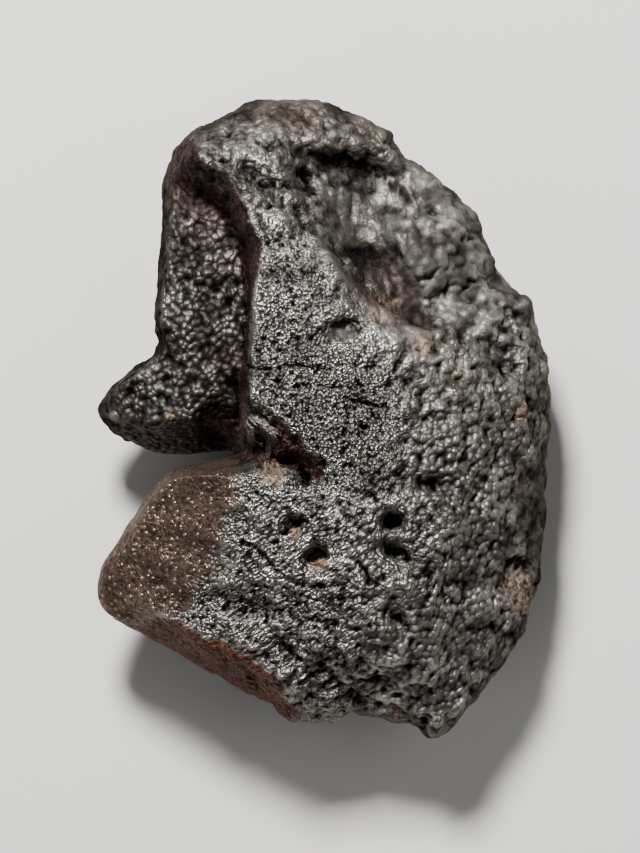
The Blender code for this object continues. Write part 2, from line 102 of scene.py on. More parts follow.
# The widest line, clockwise from the inner end of the notch: x, y, its height, how steeply the lump
# climbs from it to the front and drops from it to the back (rise over run), and its rounding's radius.
OUTLINE = np.array([
    (-6.1, -2.25, 5.0, 6.0, 2.6, 0.3),
    (-7.0, -2.15, 4.6, 1.7, 2.6, 0.3),
    (-8.2, -2.28, 4.6, 1.8, 2.6, 0.3),
    (-9.4, -2.42, 4.8, 1.9, 2.5, 0.3),
    (-10.9, -2.4, 5.0, 2.0, 2.2, 0.4),
    (-12.1, -2.2, 5.4, 2.0, 1.8, 0.6),
    (-13.5, -1.6, 5.8, 1.8, 1.5, 0.8),
    (-14.9, -0.9, 6.4, 1.5, 1.2, 1.2),
    (-15.8, 0.3, 7.0, 1.2, 1.2, 1.6),
    (-15.5, 1.4, 7.4, 1.6, 1.2, 1.6),
    (-14.5, 2.7, 7.8, 2.2, 1.4, 1.2),
    (-12.6, 4.1, 8.0, 3.0, 1.6, 1.0),
    (-11.5, 5.4, 8.0, 3.4, 2.0, 0.9),
    (-11.9, 7.0, 7.8, 3.4, 2.0, 0.9),
    (-11.7, 10.4, 7.4, 3.2, 1.8, 0.9),
    (-11.4, 14.0, 7.0, 3.2, 1.6, 0.9),
    (-11.3, 16.7, 6.8, 3.6, 1.5, 0.8),
    (-10.1, 19.5, 7.6, 4.2, 1.4, 0.7),
    (-7.8, 21.0, 8.2, 2.0, 1.4, 1.2),
    (-5.0, 22.3, 8.2, 0.9, 1.5, 2.0),
    (-2.6, 22.5, 8.2, 0.8, 1.6, 2.2),
    (-0.2, 22.4, 8.4, 0.7, 1.6, 2.4),
    (2.2, 21.4, 8.2, 0.6, 1.6, 2.4),
    (4.5, 20.3, 8.0, 0.6, 1.8, 2.4),
    (5.2, 19.0, 8.0, 0.6, 1.8, 2.4),
    (7.4, 17.2, 7.8, 0.6, 1.8, 2.6),
    (9.8, 15.4, 7.4, 0.7, 1.8, 2.6),
    (10.9, 13.7, 7.2, 0.8, 1.6, 2.4),
    (11.6, 12.1, 7.2, 0.8, 1.6, 2.4),
    (12.8, 9.6, 7.2, 0.8, 1.8, 2.4),
    (14.4, 8.2, 7.4, 0.9, 2.0, 2.0),
    (14.8, 6.6, 7.4, 0.9, 2.0, 2.4),
    (15.6, 4.4, 7.2, 0.9, 2.2, 2.6),
    (15.9, 1.4, 6.8, 0.9, 2.4, 3.2),
    (15.7, -3.0, 6.4, 0.9, 2.4, 3.6),
    (15.4, -7.0, 6.2, 0.9, 2.2, 3.4),
    (15.2, -11.0, 6.2, 0.8, 1.8, 3.0),
    (14.5, -13.2, 6.4, 0.7, 1.6, 2.8),
    (13.5, -15.6, 6.6, 0.7, 1.5, 2.6),
    (12.0, -18.0, 6.8, 0.7, 1.5, 2.4),
    (10.0, -20.5, 7.0, 0.8, 1.5, 2.0),
    (7.7, -22.5, 7.0, 0.9, 1.4, 1.6),
    (6.2, -21.5, 7.0, 1.0, 1.5, 1.8),
    (4.3, -21.1, 6.8, 1.0, 1.6, 2.0),
    (2.3, -20.7, 6.6, 1.0, 1.6, 2.2),
    (0.2, -21.1, 6.4, 1.2, 1.8, 2.0),
    (-2.0, -21.0, 6.2, 1.8, 1.8, 1.4),
    (-4.4, -19.7, 5.8, 3.4, 1.6, 0.4),
    (-8.3, -17.6, 5.8, 3.4, 1.4, 0.4),
    (-11.0, -16.0, 6.4, 3.0, 1.3, 0.4),
    (-13.2, -14.8, 7.2, 2.0, 1.2, 0.7),
    (-14.8, -13.8, 7.8, 1.8, 1.2, 0.9),
    (-15.8, -12.3, 8.2, 1.6, 1.3, 1.0),
    (-15.6, -10.2, 8.8, 1.8, 1.4, 1.1),
    (-14.0, -7.8, 9.2, 2.8, 1.7, 1.1),
    (-12.3, -5.2, 9.8, 5.0, 2.1, 1.0),
    (-11.5, -4.3, 10.0, 6.5, 2.3, 0.9),
    (-10.6, -3.45, 10.0, 8.0, 2.4, 0.8),
    (-9.3, -3.1, 9.2, 9.0, 2.6, 0.6),
    (-8.2, -2.85, 8.0, 9.0, 2.6, 0.5),
    (-7.0, -2.6, 6.4, 8.0, 2.6, 0.4),
])

# Broken faces of the front: a point on each (x, y, z), the way it falls in degrees, and rise over run.
FRONT_FACES = (
    (-1.0, 0.0, 17.6, -20.0, 0.05),
    (6.0, 0.0, 17.1, -3.0, 0.42),
    (12.2, -2.0, 13.8, -8.0, 1.05),
    (5.0, 12.0, 16.4, 48.0, 0.55),
    (-2.5, 13.5, 16.8, 95.0, 0.42),
    (-3.0, 19.0, 13.8, 92.0, 1.0),
    (5.5, -10.0, 16.6, -42.0, 0.45),
    (1.5, -15.0, 15.4, -92.0, 0.72),
    (-7.0, -7.8, 16.6, 196.0, 0.66),
    (-6.5, -14.4, 13.4, 240.0, 0.50),
)
# The lower shelf of the upper left: its own faces, and the middle line of the cliff that bounds it.
SHELF_FACES = (
    (-5.5, 7.0, 12.0, 180.0, 0.16),
    (-7.0, 3.4, 11.2, 20.0, 0.14),
    (-11.5, 1.4, 11.2, 215.0, 0.40),
    (-8.0, 17.0, 10.8, 150.0, 0.45),
)
SHELF = np.array([
    (-30.0, 26.0), (-12.6, 19.8), (-10.6, 18.4), (-7.8, 16.5), (-5.8, 14.0), (-5.1, 12.2), (-5.2, 9.0),
    (-5.6, 4.8), (-5.4, 1.6), (-5.5, -2.4), (-30.0, -2.8),
])
# How wide in plan the cliff is at its upper end and below, steeper there than the solid's 0.7, and where
# in y it starts to change and over how much of y.
CLIFF_RUN_HIGH = 2.4
CLIFF_RUN_LOW = 0.5
CLIFF_TURN = 9.0
CLIFF_CHANGE = 6.0

# Hollows pressed into the front: x, y, half length, half width, turn in degrees, depth, softness of rim.
# A hollow with a depth below zero is a hump. The narrow troughs in the two thumbprints, which are the
# second and fourth rows, are deeper than the solid's, and the two dents at y -13 are shallower.
FRONT_HOLLOWS = (
    (1.5, 15.2, 3.9, 3.2, -14.0, 2.8, 0.42),
    (1.0, 18.0, 2.6, 0.6, -13.0, 1.4, 0.50),
    (4.0, 9.7, 4.4, 2.3, -45.0, 2.8, 0.36),
    (2.6, 11.2, 2.0, 0.6, -8.0, 1.5, 0.50),
    (6.7, 10.4, 1.8, 0.7, -75.0, -0.7, 0.60),
    (-3.6, -1.9, 1.9, 0.9, -34.0, 2.3, 0.34),
    (-1.2, -3.1, 1.8, 0.7, -38.0, 1.9, 0.34),
    (-3.0, -2.9, 0.6, 0.4, -16.0, 1.0, 0.50),
    (-1.4, -4.0, 0.5, 0.6, 0.0, 1.2, 0.50),
    (-7.0, -0.5, 1.5, 1.4, 14.0, 1.8, 0.36),
    (-2.2, -7.5, 0.9, 0.8, 0.0, 0.9, 0.40),
    (-0.5, -9.5, 0.8, 0.6, 10.0, 1.2, 0.40),
    (4.6, -6.9, 0.8, 0.8, 0.0, 1.6, 0.40),
    (4.7, -9.1, 1.1, 0.7, -25.0, 1.5, 0.40),
    (7.4, -4.4, 1.4, 0.8, -10.0, 0.9, 0.60),
    (13.3, -10.6, 1.3, 0.9, 10.0, 1.1, 0.50),
    (-3.8, -13.0, 2.1, 0.8, 14.0, 0.7, 0.60),
    (-6.8, -12.8, 1.3, 0.7, -40.0, 0.5, 0.60),
    (-0.2, -18.0, 1.3, 0.9, 20.0, 1.1, 0.60),
    (-2.4, -16.0, 1.1, 0.6, -30.0, 0.8, 0.60),
    (5.1, -13.9, 1.1, 0.7, -20.0, 0.8, 0.60),
    (-4.3, 16.5, 1.4, 0.7, -40.0, 1.0, 0.50),
    (-1.4, 16.9, 0.8, 0.7, 0.0, 1.0, 0.60),
    (1.4, 6.2, 1.2, 0.7, 20.0, 0.8, 0.50),
    (9.4, 8.6, 1.6, 0.7, 12.0, 0.7, 0.60),
    (12.0, 4.6, 1.4, 0.7, -30.0, 0.8, 0.60),
)

# How lumpy each part of the front is: x, y, how far it reaches, and its share of the full lump height.
FRONT_LUMPS = (
    (-1.0, 1.0, 4.0, 0.25),
    (-3.0, 9.0, 3.0, 0.40),
    (-8.5, 10.0, 3.5, 0.35),
    (-13.0, 1.0, 3.0, 0.55),
    (-11.5, -9.5, 4.0, 0.30),
    (-3.0, -9.0, 4.0, 0.55),
    (-1.0, -16.5, 4.0, 0.95),
    (6.0, -9.0, 4.0, 0.70),
    (13.0, -3.0, 5.0, 0.80),
    (9.0, 9.0, 4.0, 1.00),
    (1.0, 13.0, 4.0, 0.90),
    (-2.0, 20.0, 4.0, 0.60),
)

# Broken faces of the back, as for the front, and the shallow thumbprints in them.
BACK_FACES = (
    (0.0, 0.0, -0.7, 0.0, 0.0),
    (7.5, 1.0, 0.0, 180.0, 0.42),
    (11.5, -3.0, 2.4, 168.0, 1.1),
    (2.0, 11.0, 0.0, 250.0, 0.45),
    (-4.0, 9.5, 0.0, 315.0, 0.50),
    (-6.0, 1.0, 0.0, 355.0, 0.38),
    (-5.5, -8.5, 0.0, 25.0, 0.40),
    (-1.0, -12.5, 0.0, 82.0, 0.55),
    (7.0, -10.5, 0.0, 138.0, 0.48),
)
BACK_HOLLOWS = (
    (8.6, 11.0, 3.6, 2.8, 50.0, 1.3, 0.45),
    (-6.6, 13.6, 3.4, 2.6, 110.0, 1.2, 0.45),
    (10.8, -7.2, 3.0, 2.6, 80.0, 1.1, 0.45),
    (-9.8, -9.6, 3.0, 2.4, 30.0, 1.0, 0.45),
    (3.2, -16.6, 3.4, 2.2, -10.0, 1.0, 0.45),
)

# The skin by place, on the front face and on the shelf: x, y, reach, heights of large nodules, middle
# nodules and folds, coarseness, tarnish, and how far the fine grain is worn off.
FRONT_GRAIN = (
    (-1, 1, 4, 0.00, 0.11, 0.10, 0.05, 0.00, 0.00),
    (-3, 9, 3, 0.06, 0.30, 0.08, 0.30, 0.15, 0.00),
    (-5, 16.5, 2.8, 0.30, 0.38, 0.06, 0.70, 0.40, 0.10),
    (-11.5, -9, 4, 0.00, 0.11, 0.03, 0.15, 0.30, 0.00),
    (-4, -9, 3.5, 0.00, 0.16, 0.14, 0.10, 0.00, 0.00),
    (-1, -16, 3.5, 0.07, 0.27, 0.34, 0.30, 0.10, 0.00),
    (5, -8, 3, 0.10, 0.27, 0.12, 0.60, 0.20, 0.05),
    (8, -16, 3.5, 0.30, 0.28, 0.08, 0.95, 0.30, 0.20),
    (11, -5, 3.5, 0.30, 0.30, 0.04, 1.00, 0.45, 0.20),
    (14.8, -6, 2.2, 0.15, 0.15, 0.06, 0.40, 0.90, 0.80),
    (10, 3, 3.5, 0.42, 0.34, 0.06, 0.80, 0.50, 0.35),
    (9, 9.5, 3.8, 0.60, 0.25, 0.03, 0.75, 0.55, 1.00),
    (2.5, 13, 2.6, 0.45, 0.26, 0.04, 0.60, 0.70, 0.90),
    (0, 8, 2.5, 0.15, 0.24, 0.08, 0.35, 0.15, 0.30),
    (-2, 20, 4, 0.40, 0.34, 0.06, 0.70, 0.80, 0.65),
)
SHELF_GRAIN = (
    (-8.5, 14, 3.5, 0.30, 0.20, 0.02, 0.85, 1.00, 0.30),
    (-8.5, 9, 3.5, 0.16, 0.14, 0.02, 0.95, 1.00, 0.10),
    (-8.5, 4, 3, 0.16, 0.14, 0.02, 0.95, 1.10, 0.10),
    (-13.5, 1, 2.6, 0.34, 0.20, 0.02, 1.00, 0.95, 0.10),
)
# The back's skin everywhere, in the same order.
BACK_GRAIN = (0.30, 0.40, 0.10, 0.7, 0.6, 0.3)

# Relief of the mesh: sizes of the nodules and folds, the way the folds run in degrees, how much the
# heights of the tables are raised, the mean of each pattern, how deep the knobs' rims are sunk, and how
# far noise bends the nodules, pits and cracks.
LARGE_NODULE = 0.95
MIDDLE_NODULE = 0.60
NODULE_WANDER = 0.25
NODULE_LIFT = 1.2
NODULE_MEAN = 0.80
FOLD_LENGTH = 1.9
FOLD_WIDTH = 0.8
FOLD_WAY = 38.0
FOLD_LIFT = 1.6
FOLD_MEAN = 0.36
CRUMPLE = 0.12
CRUMPLE_MEAN = 0.8
KNOB_SINK = 0.1
PIT_WANDER = 0.35
CRACK_WANDER = 0.18

# Patterns of bump and colour: fine grains, rounded grains, bright beads, crumbs of oxide and dark patches,
# and how far the first two wander.
GRAIN = 0.24
GRAIN_WANDER = 0.20
DOME = 0.47
DOME_WANDER = 0.22
DOME_WANDER_SIZE = 0.9
BEAD = 0.52
CRUMB = 0.30
PATCH = 1.8

# Small pits of the front, as the hollows: x, y, half length, half width, turn, depth, softness of rim.
PITS = (
    (-2.1, -7.2, 0.62, 0.40, 20.0, 0.50, 0.35),
    (-0.5, -9.4, 0.55, 0.36, 8.0, 0.90, 0.25),
    (4.6, -6.9, 0.58, 0.52, 0.0, 0.90, 0.25),
    (4.5, -9.0, 0.50, 0.62, 10.0, 0.90, 0.30),
    (5.5, -9.5, 0.90, 0.28, -14.0, 0.50, 0.40),
    (2.8, -10.5, 0.85, 0.24, -52.0, 0.60, 0.40),
    (7.4, -4.5, 0.95, 0.42, -12.0, 0.50, 0.40),
    (7.2, -11.0, 0.24, 1.00, 4.0, 0.45, 0.40),
    (-3.0, -2.7, 0.60, 0.36, -16.0, 1.30, 0.30),
    (-1.4, -3.85, 0.36, 0.52, 24.0, 1.50, 0.30),
    (-4.4, -3.0, 0.50, 0.24, -20.0, 0.80, 0.35),
    (-2.9, -2.05, 0.80, 0.20, -10.0, -0.50, 0.50),
    (-2.75, -0.85, 1.60, 0.40, -39.0, 0.90, 0.50),
    (-0.2, -2.9, 0.55, 0.24, -40.0, 0.50, 0.40),
    (-5.05, -1.00, 1.00, 0.50, -60.0, -2.90, 0.45),
    (-4.15, -0.60, 1.15, 0.60, -48.0, -1.20, 0.45),
    (13.1, -9.9, 0.95, 0.32, 0.0, 1.10, 0.35),
    (8.2, -11.3, 0.22, 1.10, 4.0, 0.40, 0.40),
    (-1.4, 16.9, 0.50, 0.42, 0.0, 0.60, 0.40),
    (-1.9, 14.4, 0.40, 0.36, 0.0, 0.50, 0.40),
    (-3.7, 18.9, 0.50, 0.28, 10.0, 0.40, 0.40),
    (2.4, 11.4, 0.85, 0.34, -10.0, 0.60, 0.40),
    (1.2, 6.0, 1.15, 0.75, 12.0, 0.30, 0.50),
    (1.45, 6.62, 0.85, 0.20, 14.0, 0.36, 0.35),
    (1.75, 6.28, 0.50, 0.13, 10.0, 0.26, 0.35),
    (2.1, -19.2, 0.70, 0.45, 10.0, 0.60, 0.40),
    (5.1, -13.8, 0.60, 0.34, -20.0, 0.55, 0.40),
    (7.7, 14.4, 0.70, 0.26, -40.0, 0.45, 0.40),
    (10.8, 12.8, 0.80, 0.26, 10.0, 0.45, 0.40),
    (10.4, 9.6, 1.30, 0.24, 14.0, 0.50, 0.40),
    (12.4, 6.2, 0.90, 0.26, -20.0, 0.50, 0.40),
    (5.3, 15.9, 0.90, 0.24, -45.0, 0.50, 0.40),
    (13.0, 7.3, 1.20, 0.24, -10.0, 0.50, 0.40),
    (12.7, 3.8, 1.10, 0.40, -8.0, 0.60, 0.40),
    (-4.9, -17.9, 0.52, 0.26, -30.0, 0.50, 0.35),
)
# Single nodules that stand out on the upper right flank: x, y, radius, height.
KNOBS = (
    (6.40, 11.45, 0.42, 0.40), (7.25, 13.55, 0.36, 0.30), (7.55, 16.30, 0.36, 0.30),
    (6.60, 10.20, 0.36, 0.32), (6.80, 9.50, 0.34, 0.32), (7.00, 8.75, 0.32, 0.30),
    (7.10, 8.05, 0.32, 0.28), (11.00, 6.25, 0.55, 0.40), (12.40, 5.45, 0.50, 0.40),
    (13.90, 8.10, 0.55, 0.40), (9.35, 11.00, 0.40, 0.32), (10.40, 11.40, 0.40, 0.30),
    (11.30, 11.40, 0.36, 0.28), (7.90, 12.40, 0.46, 0.32), (8.60, 11.80, 0.42, 0.30),
    (9.60, 13.10, 0.40, 0.28), (5.80, 17.00, 0.40, 0.30), (9.40, 6.70, 0.46, 0.34),
    (10.20, 7.60, 0.42, 0.30), (8.00, 6.90, 0.42, 0.30),
)
# Cracks of the front: depth, half width, and the points along each.
CRACKS = (
    (0.42, 0.19, (
        (-5.4, 3.7), (-4.4, 3.52), (-3.1, 3.6), (-2.0, 3.85), (-1.5, 3.7), (-0.7, 3.6), (0.4, 3.47))),
    (0.16, 0.16, ((0.8, -4.3), (1.5, -4.8), (2.4, -5.0), (3.2, -5.0), (3.8, -5.7), (4.5, -6.4))),
    (0.14, 0.16, ((-3.0, 6.3), (-2.3, 6.8), (-1.4, 7.0), (-0.6, 6.5))),
    (0.40, 0.26, ((5.6, 4.8), (5.2, 4.0), (4.5, 2.9), (4.3, 2.2))),
    (0.30, 0.24, ((1.4, 1.4), (2.8, 1.1), (4.2, 1.0))),
    (0.30, 0.22, ((1.5, 1.1), (1.6, 0.0), (1.2, -1.2))),
    (0.25, 0.24, ((-2.2, 2.2), (-1.2, 2.4), (0.2, 2.3), (1.1, 2.2))),
    (0.22, 0.22, ((-5.6, -8.3), (-4.4, -9.0), (-3.4, -10.4), (-2.2, -11.0))),
)
# Where the brown film lies on the lower left face, the rust on the facet under it, and the torn root of
# the notch. Each edge: how far a noise bends it, the noise's size and seed, and where the mask starts and
# is whole, as distances in.
BROWN_EDGE = (0.9, 1.6, 41, -0.7, 0.9)
RUST_EDGE = (0.4, 0.9, 42, -0.2, 0.2)
ROOT_EDGE = (0.35, 0.7, 44, -0.1, 0.15)
BROWN_AREA = np.array([
    (-5.9, -2.6), (-5.6, -5.4), (-7.2, -7.6), (-7.7, -10.6), (-9.4, -13.0), (-12.9, -14.3), (-18.0, -15.0),
    (-18.0, -5.0), (-9.0, -2.8),
])
RUST_AREA = np.array([
    (-13.6, -14.1), (-10.7, -13.9), (-8.0, -14.2), (-5.9, -15.0), (-4.5, -16.3), (-3.2, -17.9),
    (-2.4, -19.8), (-2.2, -24.0), (-16.0, -24.0), (-16.0, -16.0),
])
ROOT_AREA = np.array([
    (-5.7, 1.1), (-5.1, 0.95), (-4.4, 0.60), (-3.0, -0.1), (-1.7, -1.1), (0.2, -3.2), (-0.2, -4.2),
    (-1.7, -3.9), (-2.8, -3.4), (-4.4, -2.9), (-5.5, -2.4), (-5.9, -1.5),
])
# Single places as ellipses: x, y, half length, half width, turn, how many radii out the place ends, and
# over how many radii it fades. They are the hole in the rust, painted dark as the shade of a hole that
# the mesh doesn't have, the smooth eye-shaped hollow, the column of bare iron in the root, the brown film
# in the lower thumbprint, the side of the arm at the notch, which takes the root's colour, painted lighter
# as painted light in its shade, and the lower face, where the grain is drawn out along the folds.
RUST_HOLE_SHADE = (-7.1, -17.2, 0.55, 0.38, -30.0, 1.2, 0.4)
EYE = (1.2, 5.95, 1.05, 0.62, 12.0, 1.15, 0.3)
COLUMN = (-4.4, -0.75, 1.20, 0.80, -52.0, 1.3, 0.5)
BROWN_BOWL = (4.2, 9.4, 3.6, 1.7, -45.0, 1.25, 0.5)
ARM_SIDE = (-9.6, -1.2, 2.8, 1.1, 0.0, 1.9, 0.5)
FOLDED_FACE = (-2.0, -11.5, 5.5, 6.5, 0.0, 1.25, 0.5)
# The highest that the column of bare iron stands.
COLUMN_TOP = 16.3
# Darker patches in the two thumbprint hollows: x, y, half length, half width, turn, strength.
DARK_SPOTS = (
    (0.9, 17.6, 3.2, 1.5, -25.0, 0.40),
    (-0.6, 14.8, 0.9, 2.4, 12.0, 0.32),
    (2.6, 11.0, 2.3, 1.0, -15.0, 0.36),
)
# The worn ridge along the lower left of the lower thumbprint hollow.
WORN_RIDGE = ((-0.6, 12.2), (1.0, 10.0), (3.2, 7.9), (5.6, 6.3), (7.2, 5.2))
WORN_HEIGHT = 0.30
WORN_WIDTH = 0.75
# The coloured part of the shelf's wall goes this far in and out from its middle line, as a share of its
# run and a length more, and a stain lies under its upper end.
WALL_IN = (0.75, 0.20)
WALL_OUT = (0.60, 0.12)
STAIN_WIDTH = 3.4
STAIN_START = 11.5
STAIN_STRENGTH = 0.6
# Spots of orange rust: x, y, radius, strength.
ORANGE_SPOTS = (
    (13.7, 0.6, 0.7, 0.5), (13.6, -11.2, 1.3, 0.55), (14.2, -12.8, 1.0, 0.50), (-0.40, -9.85, 0.62, 1.0),
    (-2.05, -7.7, 0.42, 0.9), (4.9, -20.6, 0.6, 0.6), (6.6, -14.2, 0.4, 0.3), (5.0, -14.2, 0.3, 0.3),
    (3.9, 7.6, 1.3, 0.22), (6.8, 4.9, 0.9, 0.45), (-10.7, 0.4, 0.45, 0.5), (-5.15, -1.0, 0.42, 0.9),
    (-3.6, -3.75, 0.9, 0.8), (-1.6, -20.6, 0.7, 0.3), (-14.6, 0.2, 0.5, 0.3), (9.4, 3.2, 0.9, 0.25),
)

# Colours. The iron's crevices, dark with oxide and with painted shade, and its tops, clean and tarnished;
# then, for each film over it, whether it is smooth or gritty, and its low and high parts.
CREVICE_OXIDE_AND_SHADE = "#0b0908"
CLEAN_IRON = "#c6c2b9"
TARNISHED_IRON = "#6d635c"
FILMS = (
    ("brown", "smooth", "#2f211b", "#8b7669"),
    ("wall", "gritty", "#140b09", "#3b2520"),
    ("rust", "gritty", "#260f0b", "#75422f"),
    # The root's film is painted lighter than the rust there: painted light in the shade of the notch.
    ("root", "gritty", "#231410", "#4f3a33"),
    ("orange", "gritty", "#3a261b", "#b0937a"),
    # The column's light colour is bare iron and also painted light, so that it shows in its shade.
    ("column", "smooth", "#4a3f3a", "#cfc6bf"),
)
IRON_GLINT = "#a0a0a0"
CARD = "#dcd9d4"


def smooth_least(heights, rounding):
    """The lowest of several heights, with the ridges between them rounded: -k log(sum(exp(-h / k)))."""
    stack = np.stack(heights)
    least = stack.min(axis=0)
    return least - rounding * np.log(np.exp((least - stack) / rounding).sum(axis=0))


def face_heights(x, y, faces):
    """Each broken face is a plane: its point's height, less its slope times the way gone downhill."""
    heights = []
    for x0, y0, z0, fall, slope in faces:
        way = np.radians(fall)
        heights.append(z0 - slope * ((x - x0) * np.cos(way) + (y - y0) * np.sin(way)))
    return heights


def ellipse_place(x, y, ellipse):
    """Place in an ellipse's radii, along and across it: x, y, half length, half width, turn."""
    x0, y0, half_length, half_width, turn = ellipse
    a = np.radians(turn)
    along = ((x - x0) * np.cos(a) + (y - y0) * np.sin(a)) / half_length
    across = ((y - y0) * np.cos(a) - (x - x0) * np.sin(a)) / half_width
    return along, across


def hollow_depth(x, y, hollows):
    """Sum of pressed hollows: each is its depth times a soft step of the distance in an ellipse's radii."""
    depth = np.zeros_like(x)
    for *ellipse, deep, soft in hollows:
        gap = np.hypot(*ellipse_place(x, y, ellipse))
        depth += deep / (1.0 + np.exp((gap - 1.0) * 2.2 / soft))
    return depth


def smooth_step(value, low, high):
    """0 below low, 1 above high, and a smooth climb between."""
    t = np.clip((value - low) / (high - low), 0, 1)
    return t * t * (3.0 - 2.0 * t)


def hashed(ix, iy, iz, seed):
    """A number from -1 to 1 for each lattice point, from its whole-number place alone."""
    h = ix.astype(np.uint32) * np.uint32(374761393) + iy.astype(np.uint32) * np.uint32(668265263)
    h += iz.astype(np.uint32) * np.uint32(2246822519) + np.uint32(seed * 3266489917 % 2**32)
    h = (h ^ (h >> np.uint32(13))) * np.uint32(1274126177)
    h = (h ^ (h >> np.uint32(15))) * np.uint32(2654435761)
    return ((h ^ (h >> np.uint32(16))).astype(float) / 2147483647.5) - 1.0


def rough(points, size, seed):
    """Smooth noise with lumps of about that size: a hashed slope at each corner of a turned lattice,
    blended across the cell by a quintic curve."""
    a, b = 0.7 + 1.3 * seed, 0.4 + 2.1 * seed
    turn_z = np.array([(np.cos(a), -np.sin(a), 0.0), (np.sin(a), np.cos(a), 0.0), (0.0, 0.0, 1.0)])
    turn_x = np.array([(1.0, 0.0, 0.0), (0.0, np.cos(b), -np.sin(b)), (0.0, np.sin(b), np.cos(b))])
    p = points @ (turn_z @ turn_x) / size
    cell = np.floor(p).astype(np.int64)
    f = p - cell
    s = f * f * f * (f * (f * 6.0 - 15.0) + 10.0)
    total = np.zeros(len(points))
    for corner in np.ndindex(2, 2, 2):
        weight = np.ones(len(points))
        slope = np.zeros(len(points))
        at = [cell[:, k] + corner[k] for k in range(3)]
        for k in range(3):
            weight *= s[:, k] if corner[k] else 1.0 - s[:, k]
            slope += hashed(*at, 3 * seed + k) * (f[:, k] - corner[k])
        total += weight * slope
    return total * 1.6


def square_rings(rings):
    """Rings of a square grid: how far out each point is, 0 to 1, and how far round, 0 to 1."""
    i, j = np.meshgrid(np.arange(-rings, rings + 1), np.arange(-rings, rings + 1), indexing="ij")
    out = np.maximum(abs(i), abs(j))
    sideways = abs(i) >= abs(j)
    long_side = np.where(sideways, i, j)
    share = np.where(sideways, j, i) / np.where(long_side == 0, 1, long_side) / 8.0
    round_ = np.where(sideways, np.where(i >= 0, 0.0, 0.5) + share, np.where(j > 0, 0.25, 0.75) - share)
    return (out / rings).ravel(), (round_ % 1.0).ravel()


def side_distance(x, y, start, end):
    """Distance in plan to the straight side between two points."""
    (x0, y0), (x1, y1) = start, end
    dx, dy = x1 - x0, y1 - y0
    t = np.clip(((x - x0) * dx + (y - y0) * dy) / (dx * dx + dy * dy), 0, 1)
    return np.hypot(x - x0 - t * dx, y - y0 - t * dy)


def outline_curve(points_per_span=16):
    """The outline as a closed smooth curve (Catmull-Rom through its points), and the length along it."""
    before, here = np.roll(OUTLINE, 1, axis=0), OUTLINE
    after, beyond = np.roll(OUTLINE, -1, axis=0), np.roll(OUTLINE, -2, axis=0)
    t = np.linspace(0, 1, points_per_span, endpoint=False)[:, None, None]
    curve = 0.5 * (2 * here + (after - before) * t + (2 * before - 5 * here + 4 * after - beyond) * t**2
                   + (3 * here - before - 3 * after + beyond) * t**3)
    curve = curve.transpose(1, 0, 2).reshape(-1, OUTLINE.shape[1])
    curve = np.vstack([curve, curve[:1]])
    run = np.hypot(*np.diff(curve[:, :2], axis=0).T)
    return curve, np.concatenate([[0.0], np.cumsum(run)])


def fanned(x, y):
    """Square-root space about the notch's inner end: w, where x + iy = notch end + turn * w * w. It opens
    the notch out into a straight side, so what is near in it is near through the iron."""
    return np.sqrt((x + 1j * y - NOTCH_END) / np.exp(1j * np.radians(NOTCH_TURN)))


def plan(out, round_):
    """Where each ring point lies in plan. The rings are smaller and smaller outlines in the fanned
    space, so they bend round the notch and never cross it."""
    curve, length = outline_curve()
    along = ((round_ + 0.5) % 1.0) * length[-1]
    edge = fanned(np.interp(along, length, curve[:, 0]), np.interp(along, length, curve[:, 1]))
    w = RING_CENTRE + out * (edge - RING_CENTRE)
    z = NOTCH_END + np.exp(1j * np.radians(NOTCH_TURN)) * w * w
    return z.real, z.imag


def edge_values(x, y):
    """Distance in from the outline, and its height, slopes and radius there, which are means weighted
    by 1 / d^4, with d the distance in the fanned space."""
    curve, length = outline_curve()
    stops = np.linspace(0, length[-1], EDGE_STOPS, endpoint=False)
    table = np.stack([np.interp(stops, length, column) for column in curve.T])
    d2 = (x[:, None] - table[0]) ** 2 + (y[:, None] - table[1]) ** 2
    near = d2.argmin(axis=1)
    distance = np.full(x.shape, np.inf)
    for step in (-1, 1):
        beside = table[:2, (near + step) % EDGE_STOPS]
        distance = np.minimum(distance, side_distance(x, y, table[:2, near], beside))
    fanned_gap = np.abs(fanned(x, y)[:, None] - fanned(table[0], table[1]))
    weight = 1.0 / (fanned_gap**2 + 0.0005) ** 2
    weight /= weight.sum(axis=1, keepdims=True)
    return (distance,) + tuple(weight @ column for column in table[2:])


def inside_distance(x, y, corners):
    """Signed distance to a polygon's edge, positive inside: nearest of its sides, and an even-odd test."""
    nearest = np.full(x.shape, np.inf)
    inside = np.zeros(x.shape, bool)
    for start, end in zip(corners, np.roll(corners, -1, axis=0)):
        nearest = np.minimum(nearest, side_distance(x, y, start, end))
        dx, dy = end - start
        crosses = (start[1] > y) != (end[1] > y)
        inside ^= crosses & (x < dx * (y - start[1]) / (dy if dy else 1e-9) + start[0])
    return np.where(inside, nearest, -nearest)


def rise(distance, slope, radius):
    """Rise from the widest line at a distance in from it: a quarter circle there, then a slope."""
    turned = np.clip(1.0 - distance / radius, 0, 1)
    return slope * distance + radius * np.sqrt(1.0 - turned**2)


def cliff_run(y):
    """How wide in plan the shelf's cliff is: narrow below, wider towards its upper end."""
    share = np.clip((y - CLIFF_TURN) / CLIFF_CHANGE, 0, 1)
    return CLIFF_RUN_LOW + (CLIFF_RUN_HIGH - CLIFF_RUN_LOW) * share


def wandered(x, y, level, amount, sizes, seed):
    """The plan moved sideways by a noise of two sizes, so that ridges and rims don't run straight."""
    flat = np.stack([x, y, np.full_like(x, level)], axis=1)
    moved = []
    for place, first in ((x, seed), (y, seed + 2)):
        noise = rough(flat, sizes[0], first) + 0.5 * rough(flat, sizes[1], first + 1)
        moved.append(place + amount * noise)
    return moved


